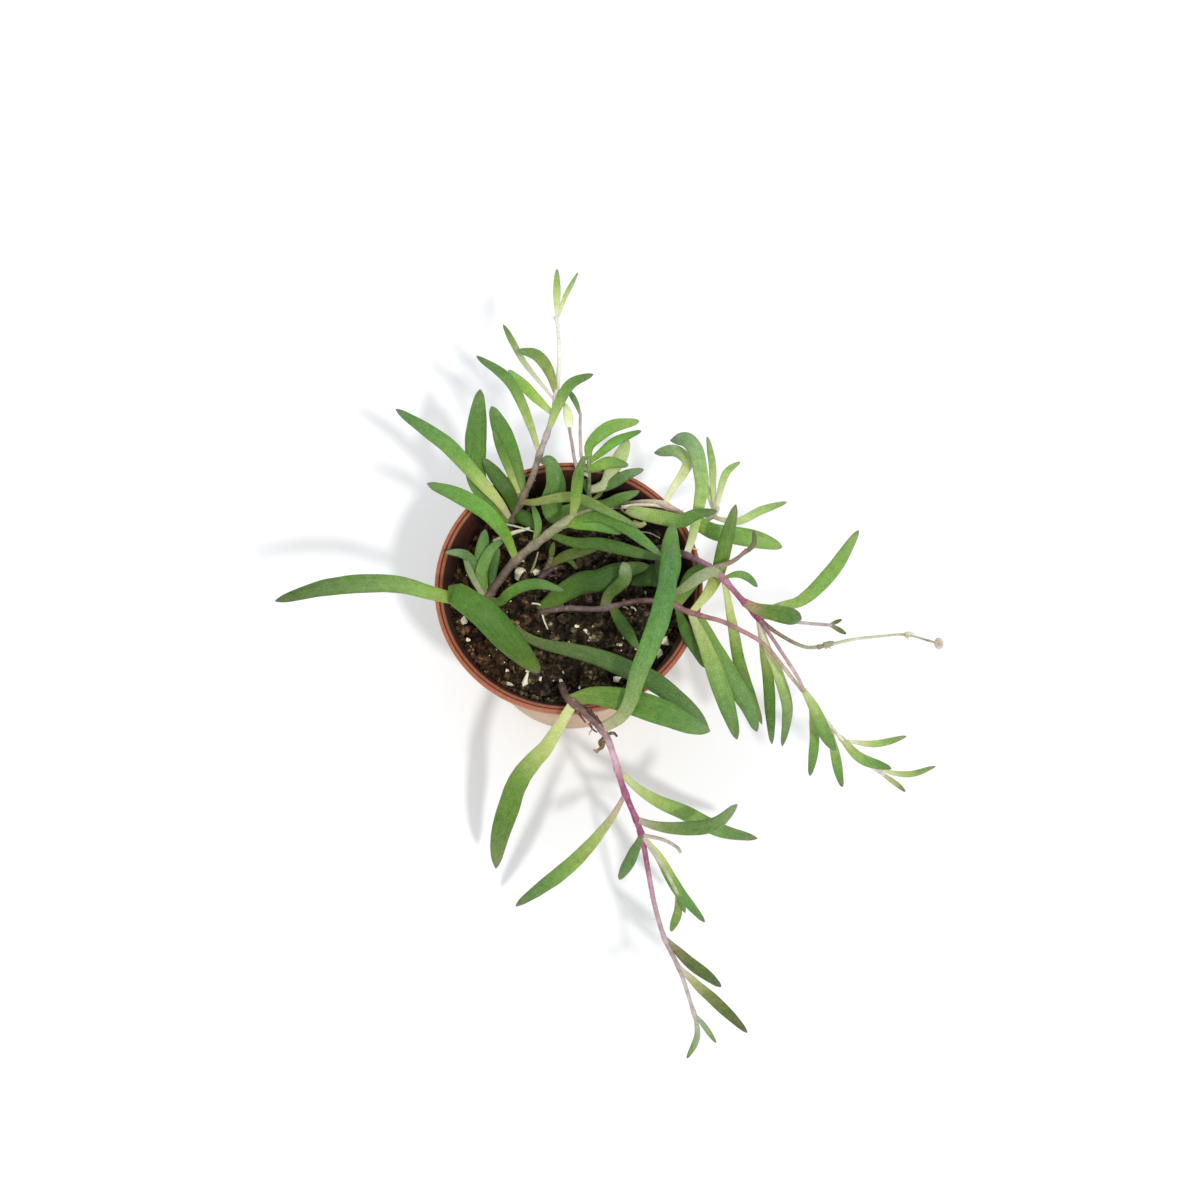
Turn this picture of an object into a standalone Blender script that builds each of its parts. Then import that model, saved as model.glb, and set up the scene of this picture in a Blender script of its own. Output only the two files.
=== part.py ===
# A string of bananas plant in a small round nursery pot: arching stems with
# long pointed fleshy leaves, rooted in dark soil with white grains.
# The tables are in millimetres, and the finished meshes are in metres.
# The origin is the middle of the pot's underside. +Z is up, and the front
# of the plant faces -Y.

import math
import random

import bmesh
import bpy
from mathutils import Vector, noise

MM = 0.001
GAP = 0.3                     # air left between pieces that meet

# Pot
POT_HEIGHT = 48.0
POT_SEGMENTS = 48
LIP_RADIUS = 30.0
LIP_INNER_RADIUS = 28.3
LIP_STEP = 0.3                # the inner part of the lip sits this much lower
COLLAR_HEIGHT = 3.0
BODY_TOP_RADIUS = 28.0        # outer radius of the wall just under the collar
BASE_RADIUS = 20.5
WALL = 0.9
FLOOR_THICKNESS = 1.8
FOOT_RING_INNER_RADIUS = 17.0
CENTRE_BOSS_RADIUS = 6.0
UNDERSIDE_RECESS = 0.8
DRAIN_HOLES = 6
DRAIN_HOLE_RADIUS = 1.8
DRAIN_CIRCLE_RADIUS = 11.5

# Soil
SOIL_TOP = 39.2
SOIL_RINGS = 11
SOIL_SEGMENTS = 42
LUMP_HEIGHT = 0.9
LUMP_SIZE = 3.4
ROOT_DEPTH = 35.0             # height of the buried end of each stem
ROOT_CLEARANCE = 3.0          # the soil is level this near to a stem
SMALL_GRAINS = 8

# Larger white grains on the soil: x, y, width
GRAINS = [
    (-11.5, 5.5, 2.7), (-8, 6, 1.4), (-23.5, -5, 1.6), (-20.5, -10, 1.2), (-10, -20.5, 2.5),
    (-13.5, -20, 2.0), (-7, -21.5, 1.2), (2.5, -21.5, 1.6), (11, -19.5, 1.8), (21.5, -11, 2.0),
    (19, -13.5, 1.6), (11.5, -11, 1.4), (5, -9.5, 1.2), (2, -7.5, 1.2), (16.5, 14, 1.2),
]

# Leaves and stems
STEM_SIDES = 6
LEAF_SIDES = 6
STEM_STEP = 3.0               # length of one stretch of a stem
LEAF_STEP = 5.0               # length of one stretch of a leaf
LEAF_TURN = 0.75              # a leaf gets another ring for each bend of this many radians
LEAF_SECTIONS = (5, 12)       # fewest and most rings on a leaf
LEAF_THICKNESS = 0.46         # thickness of a leaf as a share of its width
LEAST_HALF_THICKNESS = 0.3
LEAF_BASE_WIDTH = 0.42        # width at the root as a share of the widest
LEAF_WIDEST = 0.6             # share of its length where a leaf is widest
TIP_LENGTH = 0.035            # share of a leaf's length that is its point
LEAF_FACING = Vector((0.0, -0.3, 1.0)).normalized()

# Each stem: its route from the soil outwards, its radius at both ends, its
# leaves and its thin side shoots. A leaf is the share of the stem's length
# where it grows, its width, and the points that its midline passes through.
# A width can be followed by the share of the leaf's length where it is widest,
# and by the share of that width at its root.
STEMS = {
    "stem_front": {
        "route": [
            (-1.5, -21.5, 41), (-0.5, -25.5, 47), (1, -28, 50), (5, -31.5, 50),
            (8, -34.5, 48.5), (10, -38.5, 44), (12, -44, 38.5), (16, -53, 33), (17.5, -60.5, 31),
            (19, -68.5, 30), (21, -75.5, 30), (24, -82.5, 33), (27, -93.5, 39),
        ],
        "radii": (0.9, 0.4),
        "leaves": [
            (0.13, (5, 0.7, 0.42), (-0.5, -31, 49.5), (-5, -36.5, 43.5), (-10.5, -40.5, 34.5),
             (-13.5, -45.5, 27), (-16, -52, 21), (-17, -58, 16)),
            (0.12, (5.8, 0.58, 0.5), (5, -27, 51.5), (11, -28, 52.5), (20, -31, 53), (27, -34, 52.5),
             (30.5, -35, 52)),
            (0.22, (4.6, 0.65, 0.5), (11.5, -32, 53), (13.5, -29, 55.5), (15, -24.5, 58), (18.5, -16, 61),
             (20.5, -10, 62.5), (22.5, 3.5, 63)),
            (0.34, 3.6, (14.5, -43.5, 38), (19.5, -46, 34), (26.5, -48, 29), (34.5, -51, 25),
             (43, -52, 21)),
            (0.41, 3.4, (9.5, -50.5, 36.5), (1, -58.5, 27), (-12.5, -66, 12)),
            (0.48, 3.2, (19, -52, 36), (26.5, -53, 38), (32, -52.5, 41), (36.5, -49, 44)),
            (0.52, 2.6, (14.5, -58, 38), (11, -65.5, 46)),
            (0.52, (2.6, 0.55, 0.5), (20, -58, 31), (24.5, -65, 27), (30.5, -71, 22)),
            (0.77, 2.6, (26, -80.5, 31.5), (31, -84.5, 32), (33, -86, 32)),
            (0.85, 2.4, (28.5, -87, 37), (31, -89.5, 38.5), (37.5, -96, 40)),
            (0.98, 1.4, (27, -96.5, 42), (24.5, -101.5, 47)),
            (0.98, 1.2, (29, -95.5, 41.5), (31, -98, 40)),
        ],
        "shoots": [
            {"at": 0.52, "radii": (0.45, 0.35), "route": [(21, -55, 35), (24, -57, 36), (24.5, -58, 36.5)]},
            {"at": 0.52, "radii": (0.45, 0.35), "route": [(21, -61, 34), (24, -66.5, 32.5)],
             "leaves": [(0.97, 2.0, (24, -70, 31), (22.5, -74, 29)), (0.97, 1.2, (25.5, -70.5, 33))]},
        ],
    },
    "stem_right": {
        "route": [
            (-6.5, -4, 41), (0, -4, 43), (7, -4.5, 44), (15.5, -3.5, 46.5), (22, -5, 49.5),
            (27, -8, 51), (33.5, -10, 51.5), (37.5, -12, 51.5), (42.5, -15, 51), (49, -22.5, 49),
            (54, -28.5, 47), (56.5, -31.5, 46), (63.5, -38.5, 43), (69, -42, 41),
        ],
        "radii": (0.75, 0.35),
        "leaves": [
            (0, (5.2, 0.5, 0.6), (-2, -1, 43.5), (2.5, 1, 45.5), (7, 1.5, 46.5), (11, 3, 47.5),
             (18, 4, 49)),
            (0.16, (3, 0.8, 0.75), (9, -2, 46.5), (11, -1, 49), (12.5, 0, 51), (12.5, 2, 52.5),
             (12, 3.5, 52.5)),
            (0.18, (3, 0.45, 0.65), (11.5, -7.5, 44.5), (13.5, -10.5, 44), (15.5, -14, 44)),
            (0.31, (5, 0.65, 0.5), (22, 0, 47), (19.5, 2.5, 46.5), (17, 2.5, 46), (14, 1, 45)),
            (0.32, (4.4, 0.6, 0.6), (22, -0.5, 48.5), (21.5, 2.5, 49.5), (20, 6.5, 49)),
            (0.335, (4.3, 0.35, 0.7), (22, -1, 51.5), (22.5, 2.5, 54.5), (22.5, 6, 56), (23, 10.5, 57.5)),
            (0.35, 4, (28, 1, 50), (32, 4, 50)),
            (0.39, 4, (31, -19.5, 52.5), (34.5, -28, 48), (37, -34.5, 43)),
            (0.41, 4.2, (35, -20.5, 47.5), (39.5, -27.5, 44.5), (41.5, -32.5, 42)),
            (0.35, 3, (26, -12, 49.5), (28.5, -16, 48.5), (30, -19.5, 47.5)),
            (0.39, 3.4, (31, -3, 51), (33, 1, 51), (34.5, 6.5, 54.5), (37, 15, 58)),
            (0.75, 2.2, (54, -34.5, 42), (53.5, -41, 36)),
            (0.82, 2.2, (59, -39, 40), (60.5, -43.5, 36)),
            (0.87, 1.6, (66.5, -36, 45), (73.5, -34.5, 46)),
            (0.88, 2.4, (64, -38.5, 42), (71, -40, 39)),
            (0.97, 1.4, (74, -42, 42), (80, -40.5, 43)),
            (0.98, 1.4, (71.5, -43.5, 40), (74, -45, 38)),
        ],
    },
    "stem_upper_right": {
        "route": [
            (16, 9, 41), (20.5, 9.5, 46), (25.5, 6, 51), (29, 3.5, 53), (31.5, 1.5, 54),
            (34, -1, 54), (38, -5.5, 53), (42.5, -9.5, 50),
        ],
        "radii": (0.75, 0.6),
        "leaves": [
            (0.4, (3.6, 0.85, 0.55), (28, 11.5, 50.5), (29.5, 18.5, 51.5), (30, 22.5, 52), (29.5, 27, 52.5),
             (28.5, 31, 53), (26.5, 33.5, 52.5), (23, 34, 51)),
            (0.85, (3.8, 0.8, 0.5), (41, -8, 54), (44.5, -10, 57), (50, -12.5, 60)),
            (0.94, (3.3, 0.6, 0.25), (46.5, -6.5, 51.5), (51, -5.5, 52), (58, 1, 53), (64.5, 10.5, 54)),
            (0.97, 2.6, (43, -14.5, 47.5), (44.5, -23, 42), (45.5, -33.5, 35)),
            (0.98, 2.6, (43.5, -14, 48), (46.5, -20, 44), (48.5, -27, 41), (47.5, -34.5, 37)),
            (0.68, 2.8, (35.5, -7, 51), (36.5, -12, 48.5), (38, -18.5, 45), (43, -30, 39)),
            (0.65, (2.6, 0.45, 0.7), (31.5, -0.5, 57), (28.5, -2, 57), (26, -3.5, 56), (22.5, -5, 54)),
            (0.67, (1.8, 0.6, 0.3), (37, -0.5, 55.5), (39.5, -1, 54.5), (41.5, -3, 54)),
        ],
        "shoots": [
            {"at": 0.98, "radii": (0.5, 0.35), "route": [
                (45.5, -12, 50), (52, -15.5, 50), (56, -15.5, 51), (61.5, -14.5, 52),
                (68, -14, 53), (73, -14, 54), (78.5, -15.5, 54)]},
            {"at": 0.98, "radii": (0.5, 0.45), "route": [(46.5, -17.5, 52), (50, -23.5, 51.5), (51, -26, 51)],
             "leaves": [(0.97, 3.0, (53, -29, 50), (55.5, -34.5, 48), (58, -37.5, 45))]},
            {"at": 0.96, "radii": (0.4, 0.35), "route": [(50.5, -10.5, 52), (57.5, -11.5, 53)],
             "leaves": [(0.97, 1.2, (60.5, -13.5, 53)), (0.97, 1.2, (59.5, -10.5, 54))]},
            {"at": 0.59, "radii": (0.7, 0.35), "route": [(35.5, 2, 56), (37.5, 3, 57), (39, 4.5, 57.5)],
             "leaves": [(0.70, 1.2, (40.5, 5.5, 58), (40.5, 8.5, 59))]},
        ],
    },
    "stem_back_right": {
        "route": [
            (7, 21.5, 41), (13.5, 21, 44.5), (18.5, 19.5, 49), (21, 18.5, 50.5), (25, 16.5, 50),
            (29, 15, 47.5), (32.5, 17, 46.5), (34, 19.5, 46),
        ],
        "radii": (0.75, 0.5),
        "leaves": [
            (0.53, (2.8, 0.8), (23.5, 22, 51), (26, 26, 50.5), (27, 29.5, 49.5), (24.5, 32.5, 48.5),
             (19.5, 33, 46.5)),
            (0.14, (3.4, 0.62, 0.6), (14.5, 16.5, 50.5), (18, 15, 52), (21.5, 13.5, 53.5), (25, 12.5, 54.5),
             (28, 13.5, 55.5), (33, 14, 56.5)),
            (0.79, (4.2, 0.6, 0.8), (32.5, 13, 47.5), (38.5, 12, 47), (44.5, 11, 46), (48.5, 10, 45)),
            (0.91, 2, (38, 14.5, 49.5), (43.5, 17, 50), (49.5, 19.5, 49)),
            (0.95, 1.8, (33, 25, 46), (33, 31, 46), (32.5, 34, 46), (32, 38, 45)),
            (0.94, 1.4, (31.5, 25.5, 45), (31, 30, 44)),
            (0.97, 1.8, (36, 27.5, 47), (39.5, 31, 46)),
        ],
    },
    "stem_back": {
        "route": [
            (-14, 17.5, 41), (-12.5, 19, 43.5), (-11, 21, 46.5), (-8.5, 25, 50), (-7, 29.5, 51.5),
            (-4, 38.5, 53), (-3, 44.5, 54), (-2.5, 50, 55.5), (-2.5, 56.5, 57), (-3, 62.5, 58),
        ],
        "radii": (0.9, 0.4),
        "leaves": [
            (0.36, 2.6, (-9.5, 38.5, 53.5), (-14, 48, 53.5), (-22, 56, 51)),
            (0.55, 2.6, (-6, 42.5, 52), (-9, 46, 51.5), (-14.5, 52.5, 50.5)),
            (0.64, 2.8, (-4.5, 48.5, 56.5), (-7.5, 52.5, 57.5), (-12, 54, 57)),
            (0.61, (1.6, 0.75, 0.35), (-11, 54, 52.5), (-13.5, 59, 52), (-16, 65, 50)),
            (0.45, 2.6, (-2.5, 41.5, 54.5), (0.5, 46.5, 55), (5.5, 49.5, 54)),
            (0.98, 1.8, (-3, 67.5, 59), (-3, 73.5, 60.5)),
            (0.98, 1.2, (-1, 67, 59), (2, 72.5, 60.5)),
            (0.02, 3.7, (-16, 20, 47), (-19.5, 23, 51.2), (-27.5, 31, 54.5), (-39.5, 39.5, 56)),
            (0.02, (5, 0.6, 0.6), (-16, 18.5, 46.5), (-18.5, 20.5, 50), (-21, 24, 51), (-21.5, 33, 50.5),
             (-21, 48, 49.5)),
            (0.15, (4.6, 0.6, 0.65), (-13.5, 30.5, 51.5), (-18, 42, 52.5)),
            (0.14, 2, (-14.5, 28, 53), (-17.5, 35.5, 53)),
            (0.07, (3.6, 0.6, 0.6), (-14, 22, 49.5), (-16.5, 25, 51), (-19.5, 29, 52)),
            (0.13, (2.4, 0.5, 0.5), (-8, 19, 50), (-4, 18.5, 53), (1.5, 17.5, 56), (8.5, 13, 59),
             (15, 9, 60)),
            (0.02, (3.4, 0.55, 0.6), (-11.5, 18, 44.5), (-9, 16.5, 45), (-6.5, 14.5, 45)),
        ],
    },
    "stem_centre": {
        "route": [
            (-19, -1, 41), (-16, 2.5, 43), (-12.5, 6, 46), (-6, 10, 50), (0, 13.5, 52.5), (7, 15.5, 54.5),
        ],
        "radii": (1, 0.85),
        "leaves": [
            (0.69, (2.8, 0.6, 0.5), (5.5, 13, 55.5), (9, 11.5, 57.5), (13, 9, 58.5), (20.5, 2.5, 58.5)),
            (0.62, (3, 0.55, 0.5), (1.5, 8.5, 51.5), (7, 8, 52), (13, 6.5, 52), (21, 4.5, 51.5)),
            (0.75, (4, 0.5, 0.5), (2, 12.5, 53.5), (5, 12.5, 54), (8, 12, 53.5), (12, 10.5, 52.5)),
            (0.8, (2.6, 0.62, 0.3), (1.5, 14.5, 59.5), (2, 17.5, 62), (2.5, 20.5, 63), (3.5, 24.5, 63)),
            (0.34, 3.7, (-14.5, 10.5, 53), (-18.5, 13.5, 58), (-24, 15, 63), (-30, 15, 69)),
            (0, (3.4, 0.6, 0.5), (-20, 4, 45), (-19.5, 8, 47.5), (-19, 13, 48.5)),
            (0, (2.8, 0.5, 0.6), (-20, 1.5, 44.5), (-19.5, 4, 47), (-17, 8, 49.5), (-14.5, 10, 49.5)),
            (0, (2.2, 0.7, 0.5), (-20.5, 3.5, 45), (-22, 6, 47.5), (-24, 6.5, 50), (-27.5, 6.5, 51)),
            (0, (1.6, 0.7, 0.6), (-20.5, 0.5, 44.5), (-22, 3, 46.5), (-23.5, 6.5, 48.5)),
            (0.07, 2.6, (-17.5, 5, 44), (-16, 9.5, 46)),
            (0, (2.6, 0.6, 0.6), (-15.5, -3, 44.5), (-13.5, -2, 47), (-9.5, -0.5, 48.5), (-6, -0.5, 49),
             (-1, -1.5, 47.5)),
            (0.5, (1.8, 0.5, 0.6), (-7, 14, 48.5), (-7.5, 16.5, 48.5), (-8.5, 19.5, 48)),
        ],
    },
    "stem_back_centre": {
        "route": [(4.5, 22.5, 41), (4.5, 24.5, 46), (4.5, 27, 50.5), (4.5, 29.5, 52)],
        "radii": (0.5, 0.4),
        "leaves": [
            (0.1, (5, 0.5, 0.6), (0, 19.5, 43), (-3, 18, 45), (-4, 19.5, 48.5), (-3, 22, 52.5),
             (-3.5, 24.5, 55.5), (-4.5, 26, 57), (-6.5, 26.5, 55.5)),
            (0.2, 1.4, (3, 26, 47.5)),
            (0.06, 1.2, (7, 24, 44), (6.5, 25.5, 47)),
            (0.94, (3.2, 0.5, 0.5), (4.5, 31, 53.5), (6.5, 33, 55.5), (9.5, 35, 56), (16, 37.5, 54)),
            (0.9, (2.2, 0.5, 0.5), (7.5, 30, 53.5), (10, 32, 54), (13.5, 34, 53.5), (16.5, 35.5, 53)),
            (0.77, (2.8, 0.5, 0.6), (6.5, 27, 52), (9, 28, 52), (13.5, 27.5, 51.5)),
            (0.34, (3.4, 0.7, 0.5), (8, 24.5, 47.5), (9.5, 27, 49), (11.5, 30, 50), (13.5, 34.5, 50.5)),
            (0.29, 2.6, (8, 24, 47), (13, 25.5, 50.5), (17, 26.5, 51.5)),
            (0.06, 2.6, (8, 21, 44.5), (12, 21, 48), (16, 22, 49.5)),
        ],
        "shoots": [
            {"at": 0.65, "radii": (0.45, 0.35), "route": [(2, 27, 50.5), (0.5, 33, 53), (0, 36, 53.5)],
             "leaves": [(0.97, 1.8, (-0.2, 38.5, 54), (-1, 42, 54))]},
            {"at": 0.69, "radii": (0.4, 0.35), "route": [(3, 28.5, 51), (2.5, 33.5, 52), (2.5, 40, 53)],
             "leaves": [(0.97, 1.4, (1.5, 42.5, 53), (-0.5, 46.5, 52.5))]},
        ],
    },
    "stem_left": {
        "route": [(-15.5, -6, 41), (-17.5, -7, 47), (-20, -7.5, 54), (-22.5, -8, 59)],
        "radii": (1.0, 0.9),
        "leaves": [
            (0.98, (6.4, 0.5, 0.7), (-23.5, -8, 63), (-18.5, -11.5, 63), (-12, -17, 58), (-6, -22, 52)),
            (0.96, (4, 0.55, 0.6), (-29.5, -7, 61.5), (-35.5, -6, 63.5), (-42.5, -6.5, 65.5),
             (-49.5, -8, 67.5), (-55, -10, 69), (-60, -12.5, 71)),
            (0.05, (4.4, 0.7, 0.3), (-7, -12, 43), (0.5, -14.5, 45), (7, -17, 47), (12.5, -20, 49),
             (18, -23, 50), (21.5, -25.5, 50), (26.5, -29.5, 49.5), (30.5, -33.5, 48.5)),
        ],
    },
    "stem_young": {
        "route": [
            (-6.5, 5, 41), (-5, 6, 42.5), (-4, 8, 44.5),
        ],
        "radii": (0.6, 0.5),
        "leaves": [
            (0.5, (2.6, 0.55, 0.5), (-1.5, 7.5, 45), (2.5, 8.5, 46), (6.5, 9, 46.5)),
            (0.95, (1.4, 0.5, 0.7), (-4, 9, 46), (-3.5, 10.5, 47)),
            (0.6, (1.4, 0.5, 0.7), (-0.5, 7.5, 44), (2, 5.5, 42.5)),
        ],
    },
}

FLOWER_HEAD_RADIUS = 1.05
FLOWER_HEAD_CENTRE = (80.2, -16.0, 54.0)

COLOURS = {
    "pot": (0.42, 0.15, 0.085),
    "soil": (0.05, 0.032, 0.024),
    "leaf": (0.12, 0.27, 0.06),
    "pale_leaf": (0.30, 0.40, 0.16),
    "flower_head": (0.62, 0.52, 0.36),
}


def clear_scene():
    for item in list(bpy.data.objects):
        bpy.data.objects.remove(item, do_unlink=True)


def paint(item, colour, roughness):
    material = bpy.data.materials.new(item.name + "_material")
    material.use_nodes = True
    shader = material.node_tree.nodes["Principled BSDF"]
    shader.inputs["Base Color"].default_value = (*colour, 1.0)
    shader.inputs["Roughness"].default_value = roughness
    shader.inputs["Metallic"].default_value = 0.0
    item.data.materials.clear()
    item.data.materials.append(material)


def add_object(name, mesh_builder):
    bmesh.ops.recalc_face_normals(mesh_builder, faces=mesh_builder.faces)
    bmesh.ops.scale(mesh_builder, vec=(MM, MM, MM), verts=mesh_builder.verts)
    mesh = bpy.data.meshes.new(name)
    mesh_builder.to_mesh(mesh)
    mesh_builder.free()
    item = bpy.data.objects.new(name, mesh)
    bpy.context.collection.objects.link(item)
    return item


def combine(item, others, operation, solver):
    # One Boolean on a collection of helpers, applied, with the helpers then removed.
    helpers = bpy.data.collections.new(item.name + "_helpers")
    for other in others:
        helpers.objects.link(other)
    modifier = item.modifiers.new("combine", "BOOLEAN")
    modifier.operation = operation
    modifier.operand_type = "COLLECTION"
    modifier.collection = helpers
    modifier.solver = solver
    bpy.context.view_layer.update()
    evaluated = item.evaluated_get(bpy.context.evaluated_depsgraph_get())
    result = bpy.data.meshes.new_from_object(evaluated)
    item.modifiers.clear()
    item.data = result
    for other in others:
        bpy.data.objects.remove(other, do_unlink=True)
    bpy.data.collections.remove(helpers)


# Curves

def smooth_curve(points, steps=16):
    # A rounded line through the points, as a dense list of places along it.
    first = points[0] * 2 - points[1]
    last = points[-1] * 2 - points[-2]
    line = [first, *points, last]
    dense = []
    for a, b, c, d in zip(line, line[1:], line[2:], line[3:]):
        before = (b - a).length ** 0.5
        span = (c - b).length ** 0.5
        after = (d - c).length ** 0.5
        leave = span * ((b - a) / before - (c - a) / (before + span) + (c - b) / span)
        arrive = span * ((c - b) / span - (d - b) / (span + after) + (d - c) / after)
        for step in range(steps):
            t = step / steps
            dense.append(
                b * (2 * t ** 3 - 3 * t ** 2 + 1) + leave * (t ** 3 - 2 * t ** 2 + t)
                + c * (3 * t ** 2 - 2 * t ** 3) + arrive * (t ** 3 - t ** 2))
    dense.append(points[-1])
    return dense


def curve_length(dense):
    return sum((b - a).length for a, b in zip(dense, dense[1:]))


def total_turn(dense):
    steps = [b - a for a, b in zip(dense, dense[1:])]
    return sum(a.angle(b, 0.0) for a, b in zip(steps, steps[1:]))


def point_along(dense, share):
    goal = share * curve_length(dense)
    travelled = 0.0
    for a, b in zip(dense, dense[1:]):
        stretch = (b - a).length
        if travelled + stretch >= goal:
            return a.lerp(b, (goal - travelled) / stretch)
        travelled += stretch
    return dense[-1].copy()


def direction_along(dense, share):
    ahead = point_along(dense, min(share + 0.01, 1.0))
    behind = point_along(dense, max(share - 0.01, 0.0))
    return (ahead - behind).normalized()


# Stems and leaves

def ring(builder, centre, across, depth, half_width, half_depth, sides):
    verts = []
    for side in range(sides):
        angle = 2 * math.pi * side / sides
        offset = across * (half_width * math.cos(angle)) + depth * (half_depth * math.sin(angle))
        verts.append(builder.verts.new(centre + offset))
    return verts


def skin_rings(builder, rings):
    for near, far in zip(rings, rings[1:]):
        for i in range(len(near)):
            j = (i + 1) % len(near)
            builder.faces.new((near[i], near[j], far[j], far[i]))


def tube(name, dense, radii, sections):
    builder = bmesh.new()
    rings = []
    across = direction_along(dense, 0.0).cross(Vector((0.31, 0.95, 0.05))).normalized()
    for section in range(sections + 1):
        share = section / sections
        along = direction_along(dense, share)
        across = (across - along * across.dot(along)).normalized()
        depth = along.cross(across)
        radius = radii[0] + (radii[1] - radii[0]) * share
        rings.append(ring(builder, point_along(dense, share), across, depth, radius, radius, STEM_SIDES))
    skin_rings(builder, rings)
    builder.faces.new(rings[0])
    builder.faces.new(rings[-1])
    return add_object(name, builder)


def leaf_size(size):
    if not isinstance(size, tuple):
        return size, LEAF_WIDEST, LEAF_BASE_WIDTH
    if len(size) == 2:
        return size[0], size[1], LEAF_BASE_WIDTH
    return size


def leaf_width(share, widest, base):
    # Narrow at the root, widest at one place, then drawn in to the point.
    swell = math.sin(min(share / widest, 1.0) * math.pi / 2) ** 1.3
    beyond = max(share - widest, 0.0) / (1.0 - widest)
    taper = math.cos(beyond * math.pi / 2 * 0.86) ** 0.8
    return (base + (1 - base) * swell) * taper


def leaf(name, points, size):
    width, widest, base = leaf_size(size)
    dense = smooth_curve(points)
    builder = bmesh.new()
    rings = []
    sections = round(curve_length(dense) / LEAF_STEP + total_turn(dense) / LEAF_TURN) + 2
    sections = min(max(sections, LEAF_SECTIONS[0]), LEAF_SECTIONS[1])
    for section in range(sections):
        share = section / (sections - 1) * (1 - TIP_LENGTH)
        along = direction_along(dense, share)
        across = LEAF_FACING.cross(along).normalized()
        depth = along.cross(across)
        half_width = max(width / 2 * leaf_width(share, widest, base), LEAST_HALF_THICKNESS)
        half_depth = max(half_width * LEAF_THICKNESS, LEAST_HALF_THICKNESS)
        centre = point_along(dense, share)
        rings.append(ring(builder, centre, across, depth, half_width, half_depth, LEAF_SIDES))
    skin_rings(builder, rings)
    builder.faces.new(rings[0])
    tip = builder.verts.new(points[-1])
    for i in range(LEAF_SIDES):
        builder.faces.new((rings[-1][i], rings[-1][(i + 1) % LEAF_SIDES], tip))
    return add_object(name, builder)


def leaves_on(name, dense, rows):
    made = []
    for number, (at, size, *points) in enumerate(rows):
        root = point_along(dense, at)
        route = [root] + [Vector(point) for point in points]
        made.append(leaf(f"{name}_leaf_{number}", route, size))
    return made


def stem_sections(dense):
    return max(2, round(curve_length(dense) / STEM_STEP))


def make_stem(name, spec):
    dense = smooth_curve([Vector(point) for point in spec["route"]])
    buried = Vector((dense[0].x, dense[0].y, ROOT_DEPTH))
    whole = [buried] + dense
    stem = tube(name, whole, spec["radii"], stem_sections(whole))
    growths = leaves_on(name, dense, spec["leaves"])
    for number, shoot in enumerate(spec.get("shoots", [])):
        root = point_along(dense, shoot["at"])
        line = smooth_curve([root] + [Vector(point) for point in shoot["route"]])
        label = f"{name}_shoot_{number}"
        growths.append(tube(label, line, shoot["radii"], stem_sections(line)))
        growths.extend(leaves_on(label, line, shoot.get("leaves", [])))
    combine(stem, growths, "UNION", "MANIFOLD")
    return stem


# Pot

def inner_radius(height):
    # Inner radius of the wall, which widens evenly from the floor to the collar.
    low = BASE_RADIUS - WALL
    high = BODY_TOP_RADIUS - WALL
    share = (height - FLOOR_THICKNESS) / (POT_HEIGHT - COLLAR_HEIGHT - FLOOR_THICKNESS)
    return low + (high - low) * share


def spin_profile(name, profile, segments):
    # The profile is a list of (radius, height), from the axis back to the axis.
    builder = bmesh.new()
    verts = [builder.verts.new((radius, 0.0, height)) for radius, height in profile]
    edges = [builder.edges.new(pair) for pair in zip(verts, verts[1:])]
    bmesh.ops.spin(
        builder, geom=verts + edges, axis=(0, 0, 1), cent=(0, 0, 0),
        angle=2 * math.pi, steps=segments, use_merge=True)
    bmesh.ops.remove_doubles(builder, verts=builder.verts, dist=1e-4)
    return add_object(name, builder)


def cylinder(name, centre, radius, low, high, segments):
    builder = bmesh.new()
    bmesh.ops.create_cone(
        builder, cap_ends=True, segments=segments, radius1=radius, radius2=radius, depth=high - low)
    bmesh.ops.translate(builder, vec=(centre[0], centre[1], (low + high) / 2), verts=builder.verts)
    return add_object(name, builder)


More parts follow.
